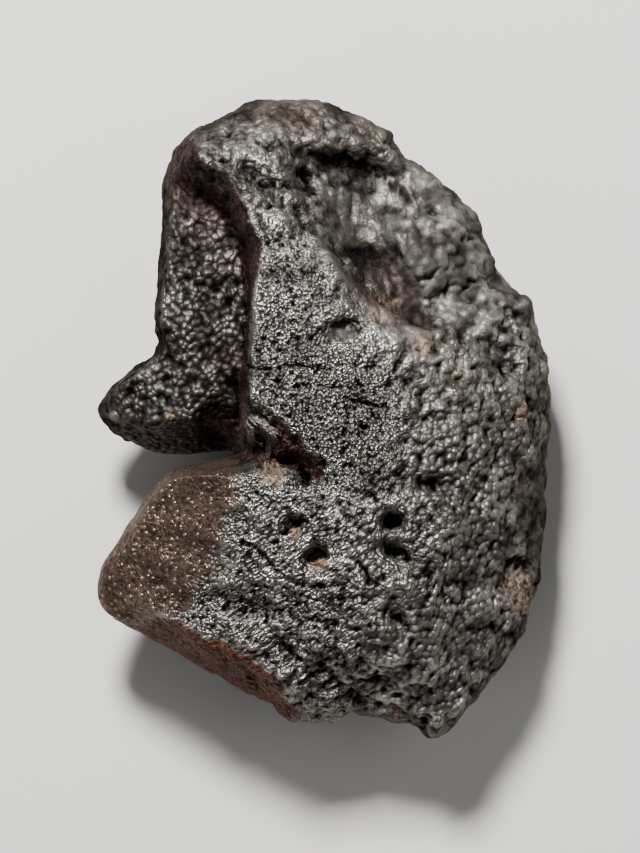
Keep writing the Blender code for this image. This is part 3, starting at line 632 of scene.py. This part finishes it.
def front_height(x, y, distance, rim, climb, radius):
    """Height of the front over the plan: faces under ridges, the shelf below its cliff, the climb from
    the widest line, and the hollows taken off, fading to nothing at that line."""
    wx, wy = wandered(x, y, 0.0, WARP, WARP_SIZES, 1)
    body = smooth_least(face_heights(wx, wy, FRONT_FACES), RIDGE_ROUNDING)
    shelf = smooth_least(face_heights(wx, wy, SHELF_FACES), RIDGE_ROUNDING)
    share = np.clip(0.5 + inside_distance(wx, wy, SHELF) / cliff_run(y), 0, 1)
    share = 0.5 * share + 0.5 * share * share * (3.0 - 2.0 * share)
    top = body + (np.minimum(shelf, body) - body) * share
    top = smooth_least([top, rim + rise(distance, climb, radius)], EDGE_ROUNDING)
    return top - hollow_depth(wx, wy, FRONT_HOLLOWS) * np.clip(distance / HOLLOW_FADE, 0, 1)


def back_height(x, y, distance, rim, drop, radius):
    """Height of the back over the plan, from the same parts as the front turned over."""
    wx, wy = wandered(x, y, BACK_WARP_LEVEL, BACK_WARP, BACK_WARP_SIZES, 5)
    under = face_heights(wx, wy, BACK_FACES) + [rim - rise(distance, drop, radius)]
    under = -smooth_least([-h for h in under], RIDGE_ROUNDING)
    return under + hollow_depth(wx, wy, BACK_HOLLOWS) * np.clip(distance / HOLLOW_FADE, 0, 1)


def local_share(x, y, spots):
    """A value that drifts between the values of the spots, each weighted by a bell of the distance."""
    total = np.full(x.shape, 1e-9)
    value = np.zeros(x.shape)
    for x0, y0, reach, amount in spots:
        bell = np.exp(-((x - x0) ** 2 + (y - y0) ** 2) / reach**2)
        total += bell
        value += bell * amount
    return value / total


def linear(hex_colour):
    """sRGB hex to the linear colour that the shader wants."""
    parts = [int(hex_colour[k:k + 2], 16) / 255.0 for k in (1, 3, 5)]
    return tuple(c / 12.92 if c <= 0.04045 else ((c + 0.055) / 1.055) ** 2.4 for c in parts) + (1.0,)


def nodules(points, size, seed):
    """Domes about that size, one round each scattered centre, with narrow valleys: the root of
    1 - d^2 / 0.8, where d^2 is the smooth least of the squared distances to the centres,
    -log(sum(exp(-14 gap^2))) / 14."""
    p = points / size
    cell = np.floor(p).astype(np.int64)
    f = p - cell
    total = np.zeros(len(points))
    for step in np.ndindex(3, 3, 3):
        at = [cell[:, k] + step[k] - 1 for k in range(3)]
        gap = sum((step[k] - 0.5 + 0.40 * hashed(*at, 3 * seed + k) - f[:, k]) ** 2 for k in range(3))
        total += np.exp(-14.0 * gap)
    return np.sqrt(np.clip(1.0 + np.log(total) / (14.0 * 0.8), 0.02, 1.0))


def line_distance(x, y, corners):
    """Distance in plan to the nearest of the straight sides along those points."""
    sides = [side_distance(x, y, a, b) for a, b in zip(corners[:-1], corners[1:])]
    return np.minimum.reduce(sides)


def sheet_points(rings, sheet):
    """Plan and height of one sheet's ring points, by the solid's own formula."""
    out, round_ = square_rings(rings)
    out = 1.0 - (1.0 - out) ** (1.0 / FINE_CROWDING)
    x, y = plan(out, round_)
    distance, rim, climb, drop, radius = edge_values(x, y)
    front = front_height(x, y, distance, rim, climb, radius)
    if sheet == "front":
        z = front
    else:
        z = back_height(x, y, distance, rim, drop, radius)
        z = np.minimum(z, front - THINNEST * np.minimum(1.0, distance))
    return x, y, np.where(out > 1.0 - 1e-9, rim, z), out > 1.0 - 1e-9


def grid_cells(number, turned):
    """Four corner numbers of each cell of a square grid of point numbers."""
    corners = [number[:-1, :-1], number[1:, :-1], number[1:, 1:], number[:-1, 1:]]
    order = (3, 2, 1, 0) if turned else (0, 1, 2, 3)
    return np.stack([corners[k].ravel() for k in order], axis=1)


def joined_skin():
    """Points and faces of the closed skin. The back has half as many rings as the front: its outermost
    cells take the front's extra rim points in as a fifth corner, or a fifth and sixth at grid corners."""
    x, y, z, _ = sheet_points(FINE_RINGS, "front")
    bx, by, bz, rim = sheet_points(COARSE_RINGS, "back")
    side, back_side = 2 * FINE_RINGS + 1, 2 * COARSE_RINGS + 1
    number = np.arange(side * side).reshape(side, side)
    back = np.full(back_side * back_side, -1)
    back[~rim] = side * side + np.arange((~rim).sum())
    back = np.where(rim.reshape(back_side, back_side), number[::2, ::2], back.reshape(back_side, back_side))
    points = np.vstack([np.stack([x, y, z], axis=1), np.stack([bx, by, bz], axis=1)[~rim]])
    cells = grid_cells(back, False)
    last = back_side - 2
    row, column = np.divmod(np.arange(len(cells)), back_side - 1)
    extra = {
        0: (column == 0, number[1::2, 0][row]),
        1: (row == last, number[-1, 1::2][column]),
        2: (column == last, number[1::2, -1][row]),
        3: (row == 0, number[0, 1::2][column]),
    }
    count = sum(on.astype(int) for on, _ in extra.values())
    faces = [grid_cells(number, True), cells[count == 0]]
    for wanted in (1, 2):
        for edges in ([(k,) for k in range(4)] if wanted == 1 else [(0, 1), (1, 2), (2, 3), (3, 0)]):
            chosen = (count == wanted) & np.logical_and.reduce([extra[k][0] for k in edges])
            columns = []
            for k in range(4):
                columns.append(cells[chosen, k])
                if k in edges:
                    columns.append(extra[k][1][chosen])
            faces.append(np.stack(columns, axis=1))
    return points, [f for f in faces if len(f)], side * side


def spread(values_of, faces, count):
    """Sum onto each point of what a rule gives for the faces that meet there."""
    total = np.zeros((count, 3))
    for group in faces:
        values = values_of(group)
        for k in range(group.shape[1]):
            for axis in range(3):
                total[:, axis] += np.bincount(group[:, k], values[:, axis], count)
    return total


def evened(points, faces, times):
    """Points moved, that many times, to the mean of the middles of the faces round them."""
    meeting = sum(np.bincount(group.ravel(), minlength=len(points)) for group in faces)[:, None]
    for _ in range(times):
        held = points
        points = spread(lambda group: held[group].mean(axis=1), faces, len(held)) / meeting
    return points


def outward(points, faces, times):
    """Unit normals of the points from the crossed diagonals of the faces round them, then evened."""
    total = spread(
        lambda group: np.cross(points[group[:, 2]] - points[group[:, 0]],
                               points[group[:, 3]] - points[group[:, 1]]), faces, len(points))
    for _ in range(times):
        total = evened(total / np.linalg.norm(total, axis=1, keepdims=True), faces, 1)
    return total / np.linalg.norm(total, axis=1, keepdims=True)


def ellipse_mask(x, y, place):
    """1 in an ellipse's middle and 0 outside it: a smooth step of how many radii are left to its end."""
    *ellipse, end, fade = place
    return smooth_step(end - np.hypot(*ellipse_place(x, y, ellipse)), 0.0, fade)


def area_mask(points, x, y, area, edge):
    """1 inside an area and 0 outside it: a smooth step of the distance in, bent by a noise."""
    bend, size, seed, low, high = edge
    return smooth_step(inside_distance(x, y, area) + bend * rough(points, size, seed), low, high)


def slit_share(x, y, by_slit):
    """A share that grows with the distance from the slit's line, from a least value to 1."""
    clear, grow, least = by_slit
    return np.clip((side_distance(x, y, *SLIT) - clear) / grow, least, 1.0)


def folds(points, seed):
    """Creased folds, long one way: the size of a noise stretched along the fold direction in plan."""
    way = np.radians(FOLD_WAY)
    along = points[:, 0] * np.cos(way) + points[:, 1] * np.sin(way)
    across = points[:, 1] * np.cos(way) - points[:, 0] * np.sin(way)
    stretched = np.stack([along / FOLD_LENGTH, across / FOLD_WIDTH, points[:, 2] / FOLD_WIDTH], axis=1)
    creases = np.abs(rough(stretched, 1.0, seed)) + 0.5 * np.abs(rough(stretched, 0.5, seed + 1))
    return creases - FOLD_MEAN


def lumped_skin():
    """The closed skin with its low lumps: creased noise along the normals, and next to none at the slit.
    Returns its points, its faces, which points are the front's, their places in plan and the normals."""
    points, faces, fronts = joined_skin()
    points = evened(points, faces, 3)
    x, y = points[:, 0].copy(), points[:, 1].copy()
    front = np.arange(len(points)) < fronts
    share = np.where(front, local_share(x, y, FRONT_LUMPS), BACK_LUMPS)
    share = share * slit_share(x, y, LUMPS_BY_SLIT)
    lumps = np.abs(rough(points, LUMP_SIZE, 11)) + 0.5 * np.abs(rough(points, LUMP_SIZE * 0.55, 12))
    normals = outward(points, faces, 30)
    points = points + normals * (LUMP_HEIGHT * (lumps - LUMP_MEAN) * share)[:, None]
    return points, faces, front, x, y, normals


def skin_by_place(x, y, front):
    """Heights of large nodules, middle nodules and folds, coarseness, tarnish and wear at each point: the
    table's values spread by place, changing over to the shelf's table at its edge."""
    terrace = smooth_step(inside_distance(x, y, SHELF), -0.1, 0.4)
    values = []
    for k, back in enumerate(BACK_GRAIN, start=3):
        upper, lower = [local_share(x, y, [spot[:3] + (spot[k],) for spot in spots])
                        for spots in (FRONT_GRAIN, SHELF_GRAIN)]
        values.append(np.where(front, upper + (lower - upper) * terrace, back))
    return values


def skin_relief(points, large, middle, fold, coarse):
    """Height of the nodules, the folds and, where the skin isn't coarse, the crumples: creases where a
    noise is near nothing, with a slow swell."""
    wander = np.stack([rough(points, 1.3, 30 + k) for k in range(3)], axis=1)
    turned = points + NODULE_WANDER * wander
    big = nodules(turned, LARGE_NODULE, 21)
    mid = nodules(turned, MIDDLE_NODULE, 22)
    relief = NODULE_LIFT * (large * (big - NODULE_MEAN) + middle * (mid - NODULE_MEAN))
    relief = relief + fold * folds(points, 25) * FOLD_LIFT
    crumple = smooth_step(np.abs(rough(points, 1.5, 50)), 0.0, 0.12) + 0.8 * rough(points, 0.9, 51)
    return relief + CRUMPLE * (1.0 - coarse) * (crumple - CRUMPLE_MEAN)


def with_knobs(relief, points, x, y, front):
    """The relief with single nodules raised out of it: half round domes with edges bent by a noise, over
    valleys that are filled under them."""
    bend = 0.25 * rough(points, 0.6, 54)
    for x0, y0, radius, tall in KNOBS:
        gap = np.hypot(x - x0, y - y0) / radius + bend
        knob = np.sqrt(np.clip(1.0 - gap ** 2, 0.0, 1.0)) * front
        raised = (tall + KNOB_SINK) * knob - KNOB_SINK + np.minimum(relief, 0.0) * (1.0 - knob)
        relief = np.maximum(relief, raised)
    return relief


def crack_depth(points, x, y):
    """Depth of the cracks: for each, its depth times a smooth step of the distance to its line, which a
    noise bends, and another noise that makes it uneven."""
    bent = y + CRACK_WANDER * rough(points, 0.7, 40)
    uneven = 0.90 + 0.4 * rough(points, 1.1, 45)
    depth = np.zeros(len(points))
    for deep, half_width, corners in CRACKS:
        depth += uneven * deep * (1.0 - smooth_step(line_distance(x, bent, corners), 0.0, half_width))
    return depth


def pit_depth(points, x, y):
    """Depth of the small pits, with rims bent by a noise."""
    bent_x = x + PIT_WANDER * rough(points, 0.6, 46)
    bent_y = y + PIT_WANDER * rough(points, 0.6, 48)
    return hollow_depth(bent_x, bent_y, PITS)


def worn_share(points, x, y, front):
    """How worn the ridge between the thumbprints is: a smooth step of the distance to it, times a noise."""
    worn = 1.0 - smooth_step(line_distance(x, y, WORN_RIDGE), 0.0, WORN_WIDTH)
    return worn * (front * (0.8 + 0.5 * rough(points, 1.5, 49)))


def column_streaks(points, x, y):
    """Streaks along the column of bare iron: the size of a noise drawn out along its length."""
    drawn = np.stack([(x - y) / 0.45, (x + y) / 2.5, points[:, 2] / 2.5], axis=1)
    return np.abs(rough(drawn, 1.0, 53))


def cut_column(height, y, column, streak):
    """Heights with the column cut to a ledge: its top falls off both ways from its middle, and what is
    above it comes down by at most 1 mm at the column's rim and 7 mm inside it."""
    top = COLUMN_TOP + 0.25 * streak - 0.25 * np.abs(y - COLUMN[1])
    ledge = np.where(column > 0, top, np.inf)
    return np.minimum(height, np.maximum(ledge, height - (1.0 + 6.0 * column)))


def wall_mask(points, x, y, normals):
    """The coloured wall: the cliff's own width where it is steep, and a stain under its upper end."""
    run = cliff_run(y)
    inward = inside_distance(x, y, SHELF)
    wall = smooth_step(WALL_IN[0] * run + WALL_IN[1] - inward, 0.0, 0.20)
    wall = wall * smooth_step(inward + WALL_OUT[0] * run + WALL_OUT[1], -0.05, 0.15)
    wall *= smooth_step(0.90 - normals[:, 2], 0.0, 0.15)
    stain = smooth_step(STAIN_WIDTH - inward, 0.0, 2.0) * smooth_step(y - STAIN_START, 0.0, 3.0)
    stain = STAIN_STRENGTH * (stain * (inward > 0))
    return np.maximum(wall, stain * np.clip(0.9 + rough(points, 1.4, 52), 0, 1))


def strongest_spot(gaps, strengths, end, fade):
    """The strongest of several spots: its strength times a smooth step of the radii left to its end."""
    spots = [strength * smooth_step(end - gap, 0.0, fade) for gap, strength in zip(gaps, strengths)]
    return np.maximum.reduce(spots)


def orange_mask(points, x, y):
    """Spots of orange rust with edges bent by a noise."""
    bend = 0.5 * rough(points, 0.7, 43)
    gaps = [np.hypot(x - x0, y - y0) / radius + bend for x0, y0, radius, _ in ORANGE_SPOTS]
    return strongest_spot(gaps, [spot[-1] for spot in ORANGE_SPOTS], 1.2, 0.6)


def hollow_darkening(points, x, y):
    """Darker patches in the thumbprint hollows, with edges bent by a noise."""
    bend = 0.35 * rough(points, 1.2, 55)
    gaps = [np.hypot(*ellipse_place(x, y, spot[:5])) + bend for spot in DARK_SPOTS]
    return strongest_spot(gaps, [spot[-1] for spot in DARK_SPOTS], 1.3, 0.9)


def dressed_skin():
    """The closed skin with its fine relief, and the masks that colour it."""
    points, faces, front, x, y, normals = lumped_skin()
    large, middle, fold, coarse, tarnish, calm = skin_by_place(x, y, front)
    brown = area_mask(points, x, y, BROWN_AREA, BROWN_EDGE) * front
    facet = smooth_step(inside_distance(x, y, RUST_AREA), -0.3, 0.3)
    eye = ellipse_mask(x, y, EYE) * front
    worn = worn_share(points, x, y, front)
    cracks = crack_depth(points, x, y) * front
    pits = pit_depth(points, x, y) * front
    column = ellipse_mask(x, y, COLUMN) * front
    streak = column_streaks(points, x, y)

    # The relief is lower on the brown face, the rust facet, the eye, the worn ridge, steep sides and in
    # the slit.
    relief = skin_relief(points, large, middle, fold, coarse)
    relief *= (1.0 - 0.5 * brown) * (1.0 - 0.7 * facet)
    relief *= 1.0 - 0.8 * eye
    relief = with_knobs(relief, points, x, y, front)
    relief = relief * (1.0 - 0.8 * np.clip(worn, 0, 1)) + WORN_HEIGHT * worn
    relief *= 0.5 + 0.5 * smooth_step(np.abs(normals[:, 2]), 0.15, 0.60)
    relief = relief * slit_share(x, y, RELIEF_BY_SLIT) - cracks
    points = points + outward(points, faces, 3) * relief[:, None]
    points[:, 2] -= pits
    points[:, 2] = cut_column(points[:, 2], y, column, streak)
    points[:, :2] -= MIDDLE
    points[:, 2] = np.maximum(points[:, 2], 0.0)

    # Low is how far a point lies under the skin evened out, and steep and side follow the normals. Low is
    # painted shade: it darkens the lows, the cracks and the hole in the rust, and with it the eye and the
    # thumbprint patches are darker too. Side darkens the sides that face away, as painted shade.
    normals = outward(points, faces, 2)
    broad = outward(points, faces, 14)
    low = -((points - evened(points, faces, 12)) * normals).sum(axis=1)
    steep = smooth_step(0.70 - normals[:, 2], 0.0, 0.35)
    rust = area_mask(points, x, y, RUST_AREA, RUST_EDGE)
    rust *= smooth_step(0.90 - broad[:, 2], 0.0, 0.15)
    # The root and the arm's side take a colour painted lighter, as painted light in their shade.
    root = area_mask(points, x, y, ROOT_AREA, ROOT_EDGE)
    root = np.maximum(ellipse_mask(x, y, ARM_SIDE) * steep, root)
    root *= 1.0 - 0.85 * column
    hole = ellipse_mask(x, y, RUST_HOLE_SHADE)
    bowl = ellipse_mask(x, y, BROWN_BOWL) * front
    # Painted shade in the lows, the cracks and the hole, and darker eye and thumbprint patches.
    low = 0.5 + 0.40 * eye + hollow_darkening(points, x, y) * front + low / 0.45 + 1.2 * hole + 1.2 * cracks
    tarnish = tarnish + 0.2 * eye + 0.5 * rough(points, 2.2, 47) + 0.7 * bowl + 0.5 * worn
    masks = {
        "rust": np.clip(rust * front, 0, 1),
        "wall": np.clip(wall_mask(points, x, y, normals) * front, 0, 1),
        "root": np.clip(root * front, 0, 1),
        "brown": np.clip(brown, 0, 1),
        "orange": orange_mask(points, x, y) * front,
        # The column is painted lighter: bare iron, and painted light in its shade.
        "column": column * np.clip(1.3 - 2.2 * streak, 0, 1),
        "coarse": coarse,
        "calm": np.clip(np.maximum(calm, 1.2 * eye), 0, 1),
        "folded": ellipse_mask(x, y, FOLDED_FACE) * front,
        "worn": np.clip(worn, 0, 1),
        "tarnish": np.clip(tarnish, 0, 1),
        "side": 1.0 - smooth_step(broad[:, 2], 0.15, 0.80),
        "low": np.clip(low, 0, 1),
        "hole": hole * front,
    }
    return points, faces, masks


def mesh_object(name, points, faces, masks, material):
    """A mesh object at the origin from points in millimetres, with its masks as point attributes."""
    mesh = bpy.data.meshes.new(name)
    loops = np.concatenate([group.ravel() for group in faces]).astype(np.int32)
    sizes = np.concatenate([np.full(len(group), group.shape[1]) for group in faces])
    mesh.vertices.add(len(points))
    mesh.vertices.foreach_set("co", (points * MM).ravel().astype(np.float32))
    mesh.loops.add(len(loops))
    mesh.loops.foreach_set("vertex_index", loops)
    mesh.polygons.add(len(sizes))
    mesh.polygons.foreach_set("loop_start", (np.cumsum(sizes) - sizes).astype(np.int32))
    mesh.update(calc_edges=True)
    mesh.validate()
    mesh.shade_smooth()
    for label, values in masks.items():
        layer = mesh.attributes.new(label, "FLOAT", "POINT")
        layer.data.foreach_set("value", values.astype(np.float32))
    mesh.materials.append(material)
    made = bpy.data.objects.new(name, mesh)
    bpy.context.scene.collection.objects.link(made)
    return made


def add(tree, kind, links=None, output=0, **settings):
    """Adds a node with its settings. Links gives each input, by name or number, a number or another
    node's output. Returns the output asked for."""
    made = tree.nodes.new("ShaderNode" + kind)
    for key, value in settings.items():
        setattr(made, key, value)
    for key, value in (links or {}).items():
        if isinstance(value, bpy.types.NodeSocket):
            tree.links.new(value, made.inputs[key])
        else:
            made.inputs[key].default_value = value
    return made.outputs[output]


def iron_patterns(tree):
    """The skin's masks and the patterns laid over it, by name. Each pattern's scale is one over its real
    size in millimetres, and keeps to Object coordinates."""
    found = {}
    for name in ("rust", "wall", "brown", "orange", "low", "coarse", "folded", "side", "tarnish", "worn",
                 "hole", "calm", "root", "column"):
        found[name] = add(tree, "Attribute", output="Fac", attribute_name=name)
    place = add(tree, "TexCoord", output="Object")
    mm = add(tree, "VectorMath", {0: place, 3: 1.0 / MM}, operation="SCALE")

    # Fine grains, their places bent by a noise, and drawn out along the folds on the lower face.
    fast = add(tree, "TexNoise", {"Vector": mm, "Scale": 1 / CRUMB, "Detail": 3.0}, "Color")
    bent = add(tree, "VectorMath", {0: fast, 1: (GRAIN_WANDER,) * 3, 2: mm}, operation="MULTIPLY_ADD")
    laid = add(tree, "Mapping", {"Vector": bent, "Rotation": (0, 0, -np.radians(FOLD_WAY))})
    laid = add(tree, "VectorMath", {0: laid, 1: (0.5, 1.0, 1.0)}, operation="MULTIPLY")
    near = add(tree, "TexVoronoi", {"Vector": bent, "Scale": 1 / GRAIN}, "Distance", feature="F1")
    near_laid = add(tree, "TexVoronoi", {"Vector": laid, "Scale": 1 / GRAIN}, "Distance", feature="F1")
    found["grain"] = add(tree, "Mix", {0: found["folded"], 2: near, 3: near_laid}, data_type="FLOAT")

    # Rounded grains, bent more slowly, and the beads that glint in the brown film.
    slow = add(tree, "TexNoise", {"Vector": mm, "Scale": 1 / DOME_WANDER_SIZE, "Detail": 1.0}, "Color")
    lazy = add(tree, "VectorMath", {0: slow, 1: (DOME_WANDER,) * 3, 2: mm}, operation="MULTIPLY_ADD")
    found["dome"] = add(tree, "TexVoronoi", {"Vector": lazy, "Scale": 1 / DOME, "Smoothness": 0.25},
                        "Distance", feature="SMOOTH_F1")
    speck = add(tree, "TexVoronoi", {"Vector": mm, "Scale": 1 / BEAD}, "Distance", feature="F1")
    bead = add(tree, "MapRange", {"Value": speck, 1: 0.38, 2: 0.10}, interpolation_type="SMOOTHSTEP")
    found["bead"] = add(tree, "Math", {0: bead, 1: found["brown"]}, operation="MULTIPLY")

    # Crumbs of oxide, and broad patches that are darker.
    found["crumb"] = add(tree, "TexNoise", {"Vector": mm, "Scale": 1 / CRUMB, "Detail": 4.0,
                                            "Roughness": 0.62})
    patch = add(tree, "TexNoise", {"Vector": mm, "Scale": 1 / PATCH, "Detail": 4.0, "Roughness": 0.6})
    found["patch"] = add(tree, "MapRange", {"Value": patch, 1: 0.36, 2: 0.62, 3: 0.35, 4: 1.0},
                         interpolation_type="SMOOTHSTEP")
    return found


def iron_grains(tree, found):
    """Grains, pocks and domes at the strength that each place has: every pattern times its factors in
    turn. All fade where the skin is calm, in the brown film and on the worn ridge. Grains and pocks also
    fade where it is coarse, and domes where it is fine."""
    clean = add(tree, "Math", {0: found["brown"], 1: found["worn"]}, operation="MAXIMUM")
    clean = add(tree, "Math", {0: clean, 1: -0.7, 2: 1.0}, operation="MULTIPLY_ADD")
    keep = add(tree, "Math", {0: found["coarse"], 1: -0.95, 2: 1.0}, operation="MULTIPLY_ADD")
    plain = add(tree, "Math", {0: found["calm"], 1: -0.8, 2: 1.0}, operation="MULTIPLY_ADD")
    keep = add(tree, "Math", {0: keep, 1: plain}, operation="MULTIPLY")
    gentle = add(tree, "Math", {0: found["calm"], 1: -0.90, 2: 1.0}, operation="MULTIPLY_ADD")
    grain, dome = found["grain"], found["dome"]
    pock = add(tree, "MapRange", {"Value": dome, 1: 0.52, 2: 0.80, 4: 0.8}, interpolation_type="SMOOTHSTEP")
    grown = []
    for value, factors in ((grain, (grain, keep, clean)), (pock, (keep, clean)),
                           (dome, (dome, found["coarse"], gentle, clean))):
        for factor in factors:
            value = add(tree, "Math", {0: value, 1: factor}, operation="MULTIPLY")
        grown.append(value)
    return (*grown, keep)


def meteorite_material():
    """Weathered nickel-iron with the fused skin of its fall worn off: bright grain tops over black
    crevices, which gives the glitter, the crevices dark with oxide and with painted shade; sides that face
    away painted darker as shade; a brown oxide film on the lower left face; dull red-brown rust on the
    facet under it and on the broken wall; the notch's root and the column of bare iron painted lighter, as
    painted light in their shade; and orange rust in a few pits."""
    made = bpy.data.materials.new("weathered_nickel_iron")
    made.use_nodes = True
    tree = made.node_tree
    shader = tree.nodes["Principled BSDF"]
    found = iron_patterns(tree)
    crumb, bead, coarse = found["crumb"], found["bead"], found["coarse"]
    grain, pock, dome, keep = iron_grains(tree, found)

    # Bump height in millimetres: crumbs, less the grains, pocks and domes, and the beads.
    height = add(tree, "Math", {0: keep, 1: crumb}, operation="MULTIPLY")
    height = add(tree, "Math", {0: height, 1: 0.12}, operation="MULTIPLY")
    for pattern, rise_mm in ((grain, -1.3 * GRAIN), (pock, -0.09), (dome, -0.80 * DOME), (bead, 0.10)):
        height = add(tree, "Math", {0: pattern, 1: rise_mm, 2: height}, operation="MULTIPLY_ADD")
    bump = add(tree, "Bump", {"Strength": 1.0, "Distance": 0.001, "Height": height})

    # How deep in a crevice, from the same patterns and the mesh's own lows, and so how bright a top. The
    # crevices are painted dark, partly as oxide and partly as painted shade.
    speckle = add(tree, "Math", {0: coarse, 1: 0.16, 2: -0.5}, operation="MULTIPLY_ADD")
    deep = add(tree, "Math", {0: grain, 1: 0.5, 2: -0.12}, operation="MULTIPLY_ADD")
    for pattern, share in ((dome, 0.55), (pock, 0.28), (crumb, speckle), (found["low"], 0.6)):
        deep = add(tree, "Math", {0: pattern, 1: share, 2: deep}, operation="MULTIPLY_ADD")
    top = add(tree, "MapRange", {"Value": deep, 1: 0.48, 2: -0.15}, interpolation_type="SMOOTHSTEP")
    # Sides that face away are painted darker, as painted shade, and coarse skin is a little darker.
    side_shade_and_coarse_dark = add(tree, "Math", {0: found["side"], 1: -0.55, 2: 1.0}, operation="MULTIPLY_ADD")
    side_shade_and_coarse_dark = add(tree, "Math", {0: coarse, 1: -0.10, 2: side_shade_and_coarse_dark}, operation="MULTIPLY_ADD")
    for factor in (found["patch"], side_shade_and_coarse_dark):
        top = add(tree, "Math", {0: top, 1: factor}, operation="MULTIPLY")

    # The films over the iron, each from its low colour to its high one.
    film = add(tree, "MapRange", {"Value": crumb, 1: 0.30, 2: 0.62}, interpolation_type="SMOOTHSTEP")
    film = add(tree, "Math", {0: film, 1: found["patch"]}, operation="MULTIPLY")
    film = add(tree, "Math", {0: film, 1: 0.55, 2: bead}, operation="MULTIPLY_ADD", use_clamp=True)
    # The hole in the rust keeps the film's low colour: painted shade.
    pitted = add(tree, "Math", {0: found["hole"], 1: -0.9, 2: 1.0}, operation="MULTIPLY_ADD")
    gritty = add(tree, "MapRange", {"Value": crumb, 1: 0.38, 2: 0.66}, interpolation_type="SMOOTHSTEP")
    gritty = add(tree, "Math", {0: gritty, 1: pitted}, operation="MULTIPLY")
    tops = {0: found["tarnish"], 6: linear(CLEAN_IRON), 7: linear(TARNISHED_IRON)}
    tops = add(tree, "Mix", tops, 2, data_type="RGBA")
    colour = add(tree, "Mix", {0: top, 6: linear(CREVICE_OXIDE_AND_SHADE), 7: tops}, 2, data_type="RGBA")
    for name, kind, low, high in FILMS:
        share = film if kind == "smooth" else gritty
        layer = add(tree, "Mix", {0: share, 6: linear(low), 7: linear(high)}, 2, data_type="RGBA")
        colour = add(tree, "Mix", {0: found[name], 6: colour, 7: layer}, 2, data_type="RGBA")

    # Rust and oxide are less metallic than the iron. Bright tops and beads are smoother, and coarse, calm
    # or rusty skin is more matt.
    stained = add(tree, "Math", {0: found["rust"], 1: found["orange"]}, operation="MAXIMUM")
    metal = add(tree, "Math", {0: stained, 1: -0.8, 2: 1.0}, operation="MULTIPLY_ADD")
    for name, less in (("column", -0.6), ("root", -0.7), ("wall", -0.5), ("brown", -0.25)):
        metal = add(tree, "Math", {0: found[name], 1: less, 2: metal}, operation="MULTIPLY_ADD",
                    use_clamp=True)
    matt = add(tree, "Math", {0: top, 1: -0.36, 2: 0.54}, operation="MULTIPLY_ADD")
    for mask, more in ((coarse, 0.17), (found["calm"], 0.26), (stained, 0.20), (bead, -0.22)):
        matt = add(tree, "Math", {0: mask, 1: more, 2: matt}, operation="MULTIPLY_ADD", use_clamp=True)
    for name, value in (("Base Color", colour), ("Metallic", metal), ("Roughness", matt), ("Normal", bump)):
        tree.links.new(value, shader.inputs[name])
    shader.inputs["Specular Tint"].default_value = linear(IRON_GLINT)
    return made


def card_material():
    """Matt pale card, a plain ground for the dark metal."""
    made = bpy.data.materials.new("pale_card")
    made.use_nodes = True
    shader = made.node_tree.nodes["Principled BSDF"]
    shader.inputs["Base Color"].default_value = linear(CARD)
    shader.inputs["Roughness"].default_value = 0.85
    return made


def card_floor():
    """A square sheet of card at z = 0, under the object's origin."""
    half = FLOOR_HALF
    mesh = bpy.data.meshes.new("floor")
    corners = [(-half, -half, 0), (half, -half, 0), (half, half, 0), (-half, half, 0)]
    mesh.from_pydata(corners, [], [(0, 1, 2, 3)])
    mesh.materials.append(card_material())
    floor = bpy.data.objects.new("floor", mesh)
    bpy.context.scene.collection.objects.link(floor)
    return floor


def lamp(name, place, size, power):
    """A square soft light that faces the object."""
    light = bpy.data.lights.new(name, "AREA")
    light.size = size
    light.energy = power
    made = bpy.data.objects.new(name, light)
    made.location = place
    made.rotation_euler = (-Vector(place)).to_track_quat("-Z", "Y").to_euler()
    bpy.context.scene.collection.objects.link(made)


def studio():
    """The lamps, and a faint cool light from all round."""
    for name, place, size, power in LAMPS:
        lamp(name, place, size, power)
    world = bpy.data.worlds.new("studio")
    world.use_nodes = True
    world.node_tree.nodes["Background"].inputs["Color"].default_value = STUDIO_TINT
    world.node_tree.nodes["Background"].inputs["Strength"].default_value = STUDIO_STRENGTH
    bpy.context.scene.world = world


def camera_above():
    """The camera straight above, as far off as its lens needs to see the strip."""
    camera = bpy.data.cameras.new("camera")
    camera.lens = LENS
    camera.sensor_width = SENSOR
    above = bpy.data.objects.new("camera", camera)
    above.location = (VIEW_X * MM, VIEW_Y * MM, (RIM_HEIGHT + VIEW_TALL * LENS / SENSOR) * MM)
    bpy.context.scene.collection.objects.link(above)
    bpy.context.scene.camera = above


skin = mesh_object("meteorite_skin", *dressed_skin(), meteorite_material())
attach(skin, "root")
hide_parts("meteorite")
floor = card_floor()
studio()
camera_above()
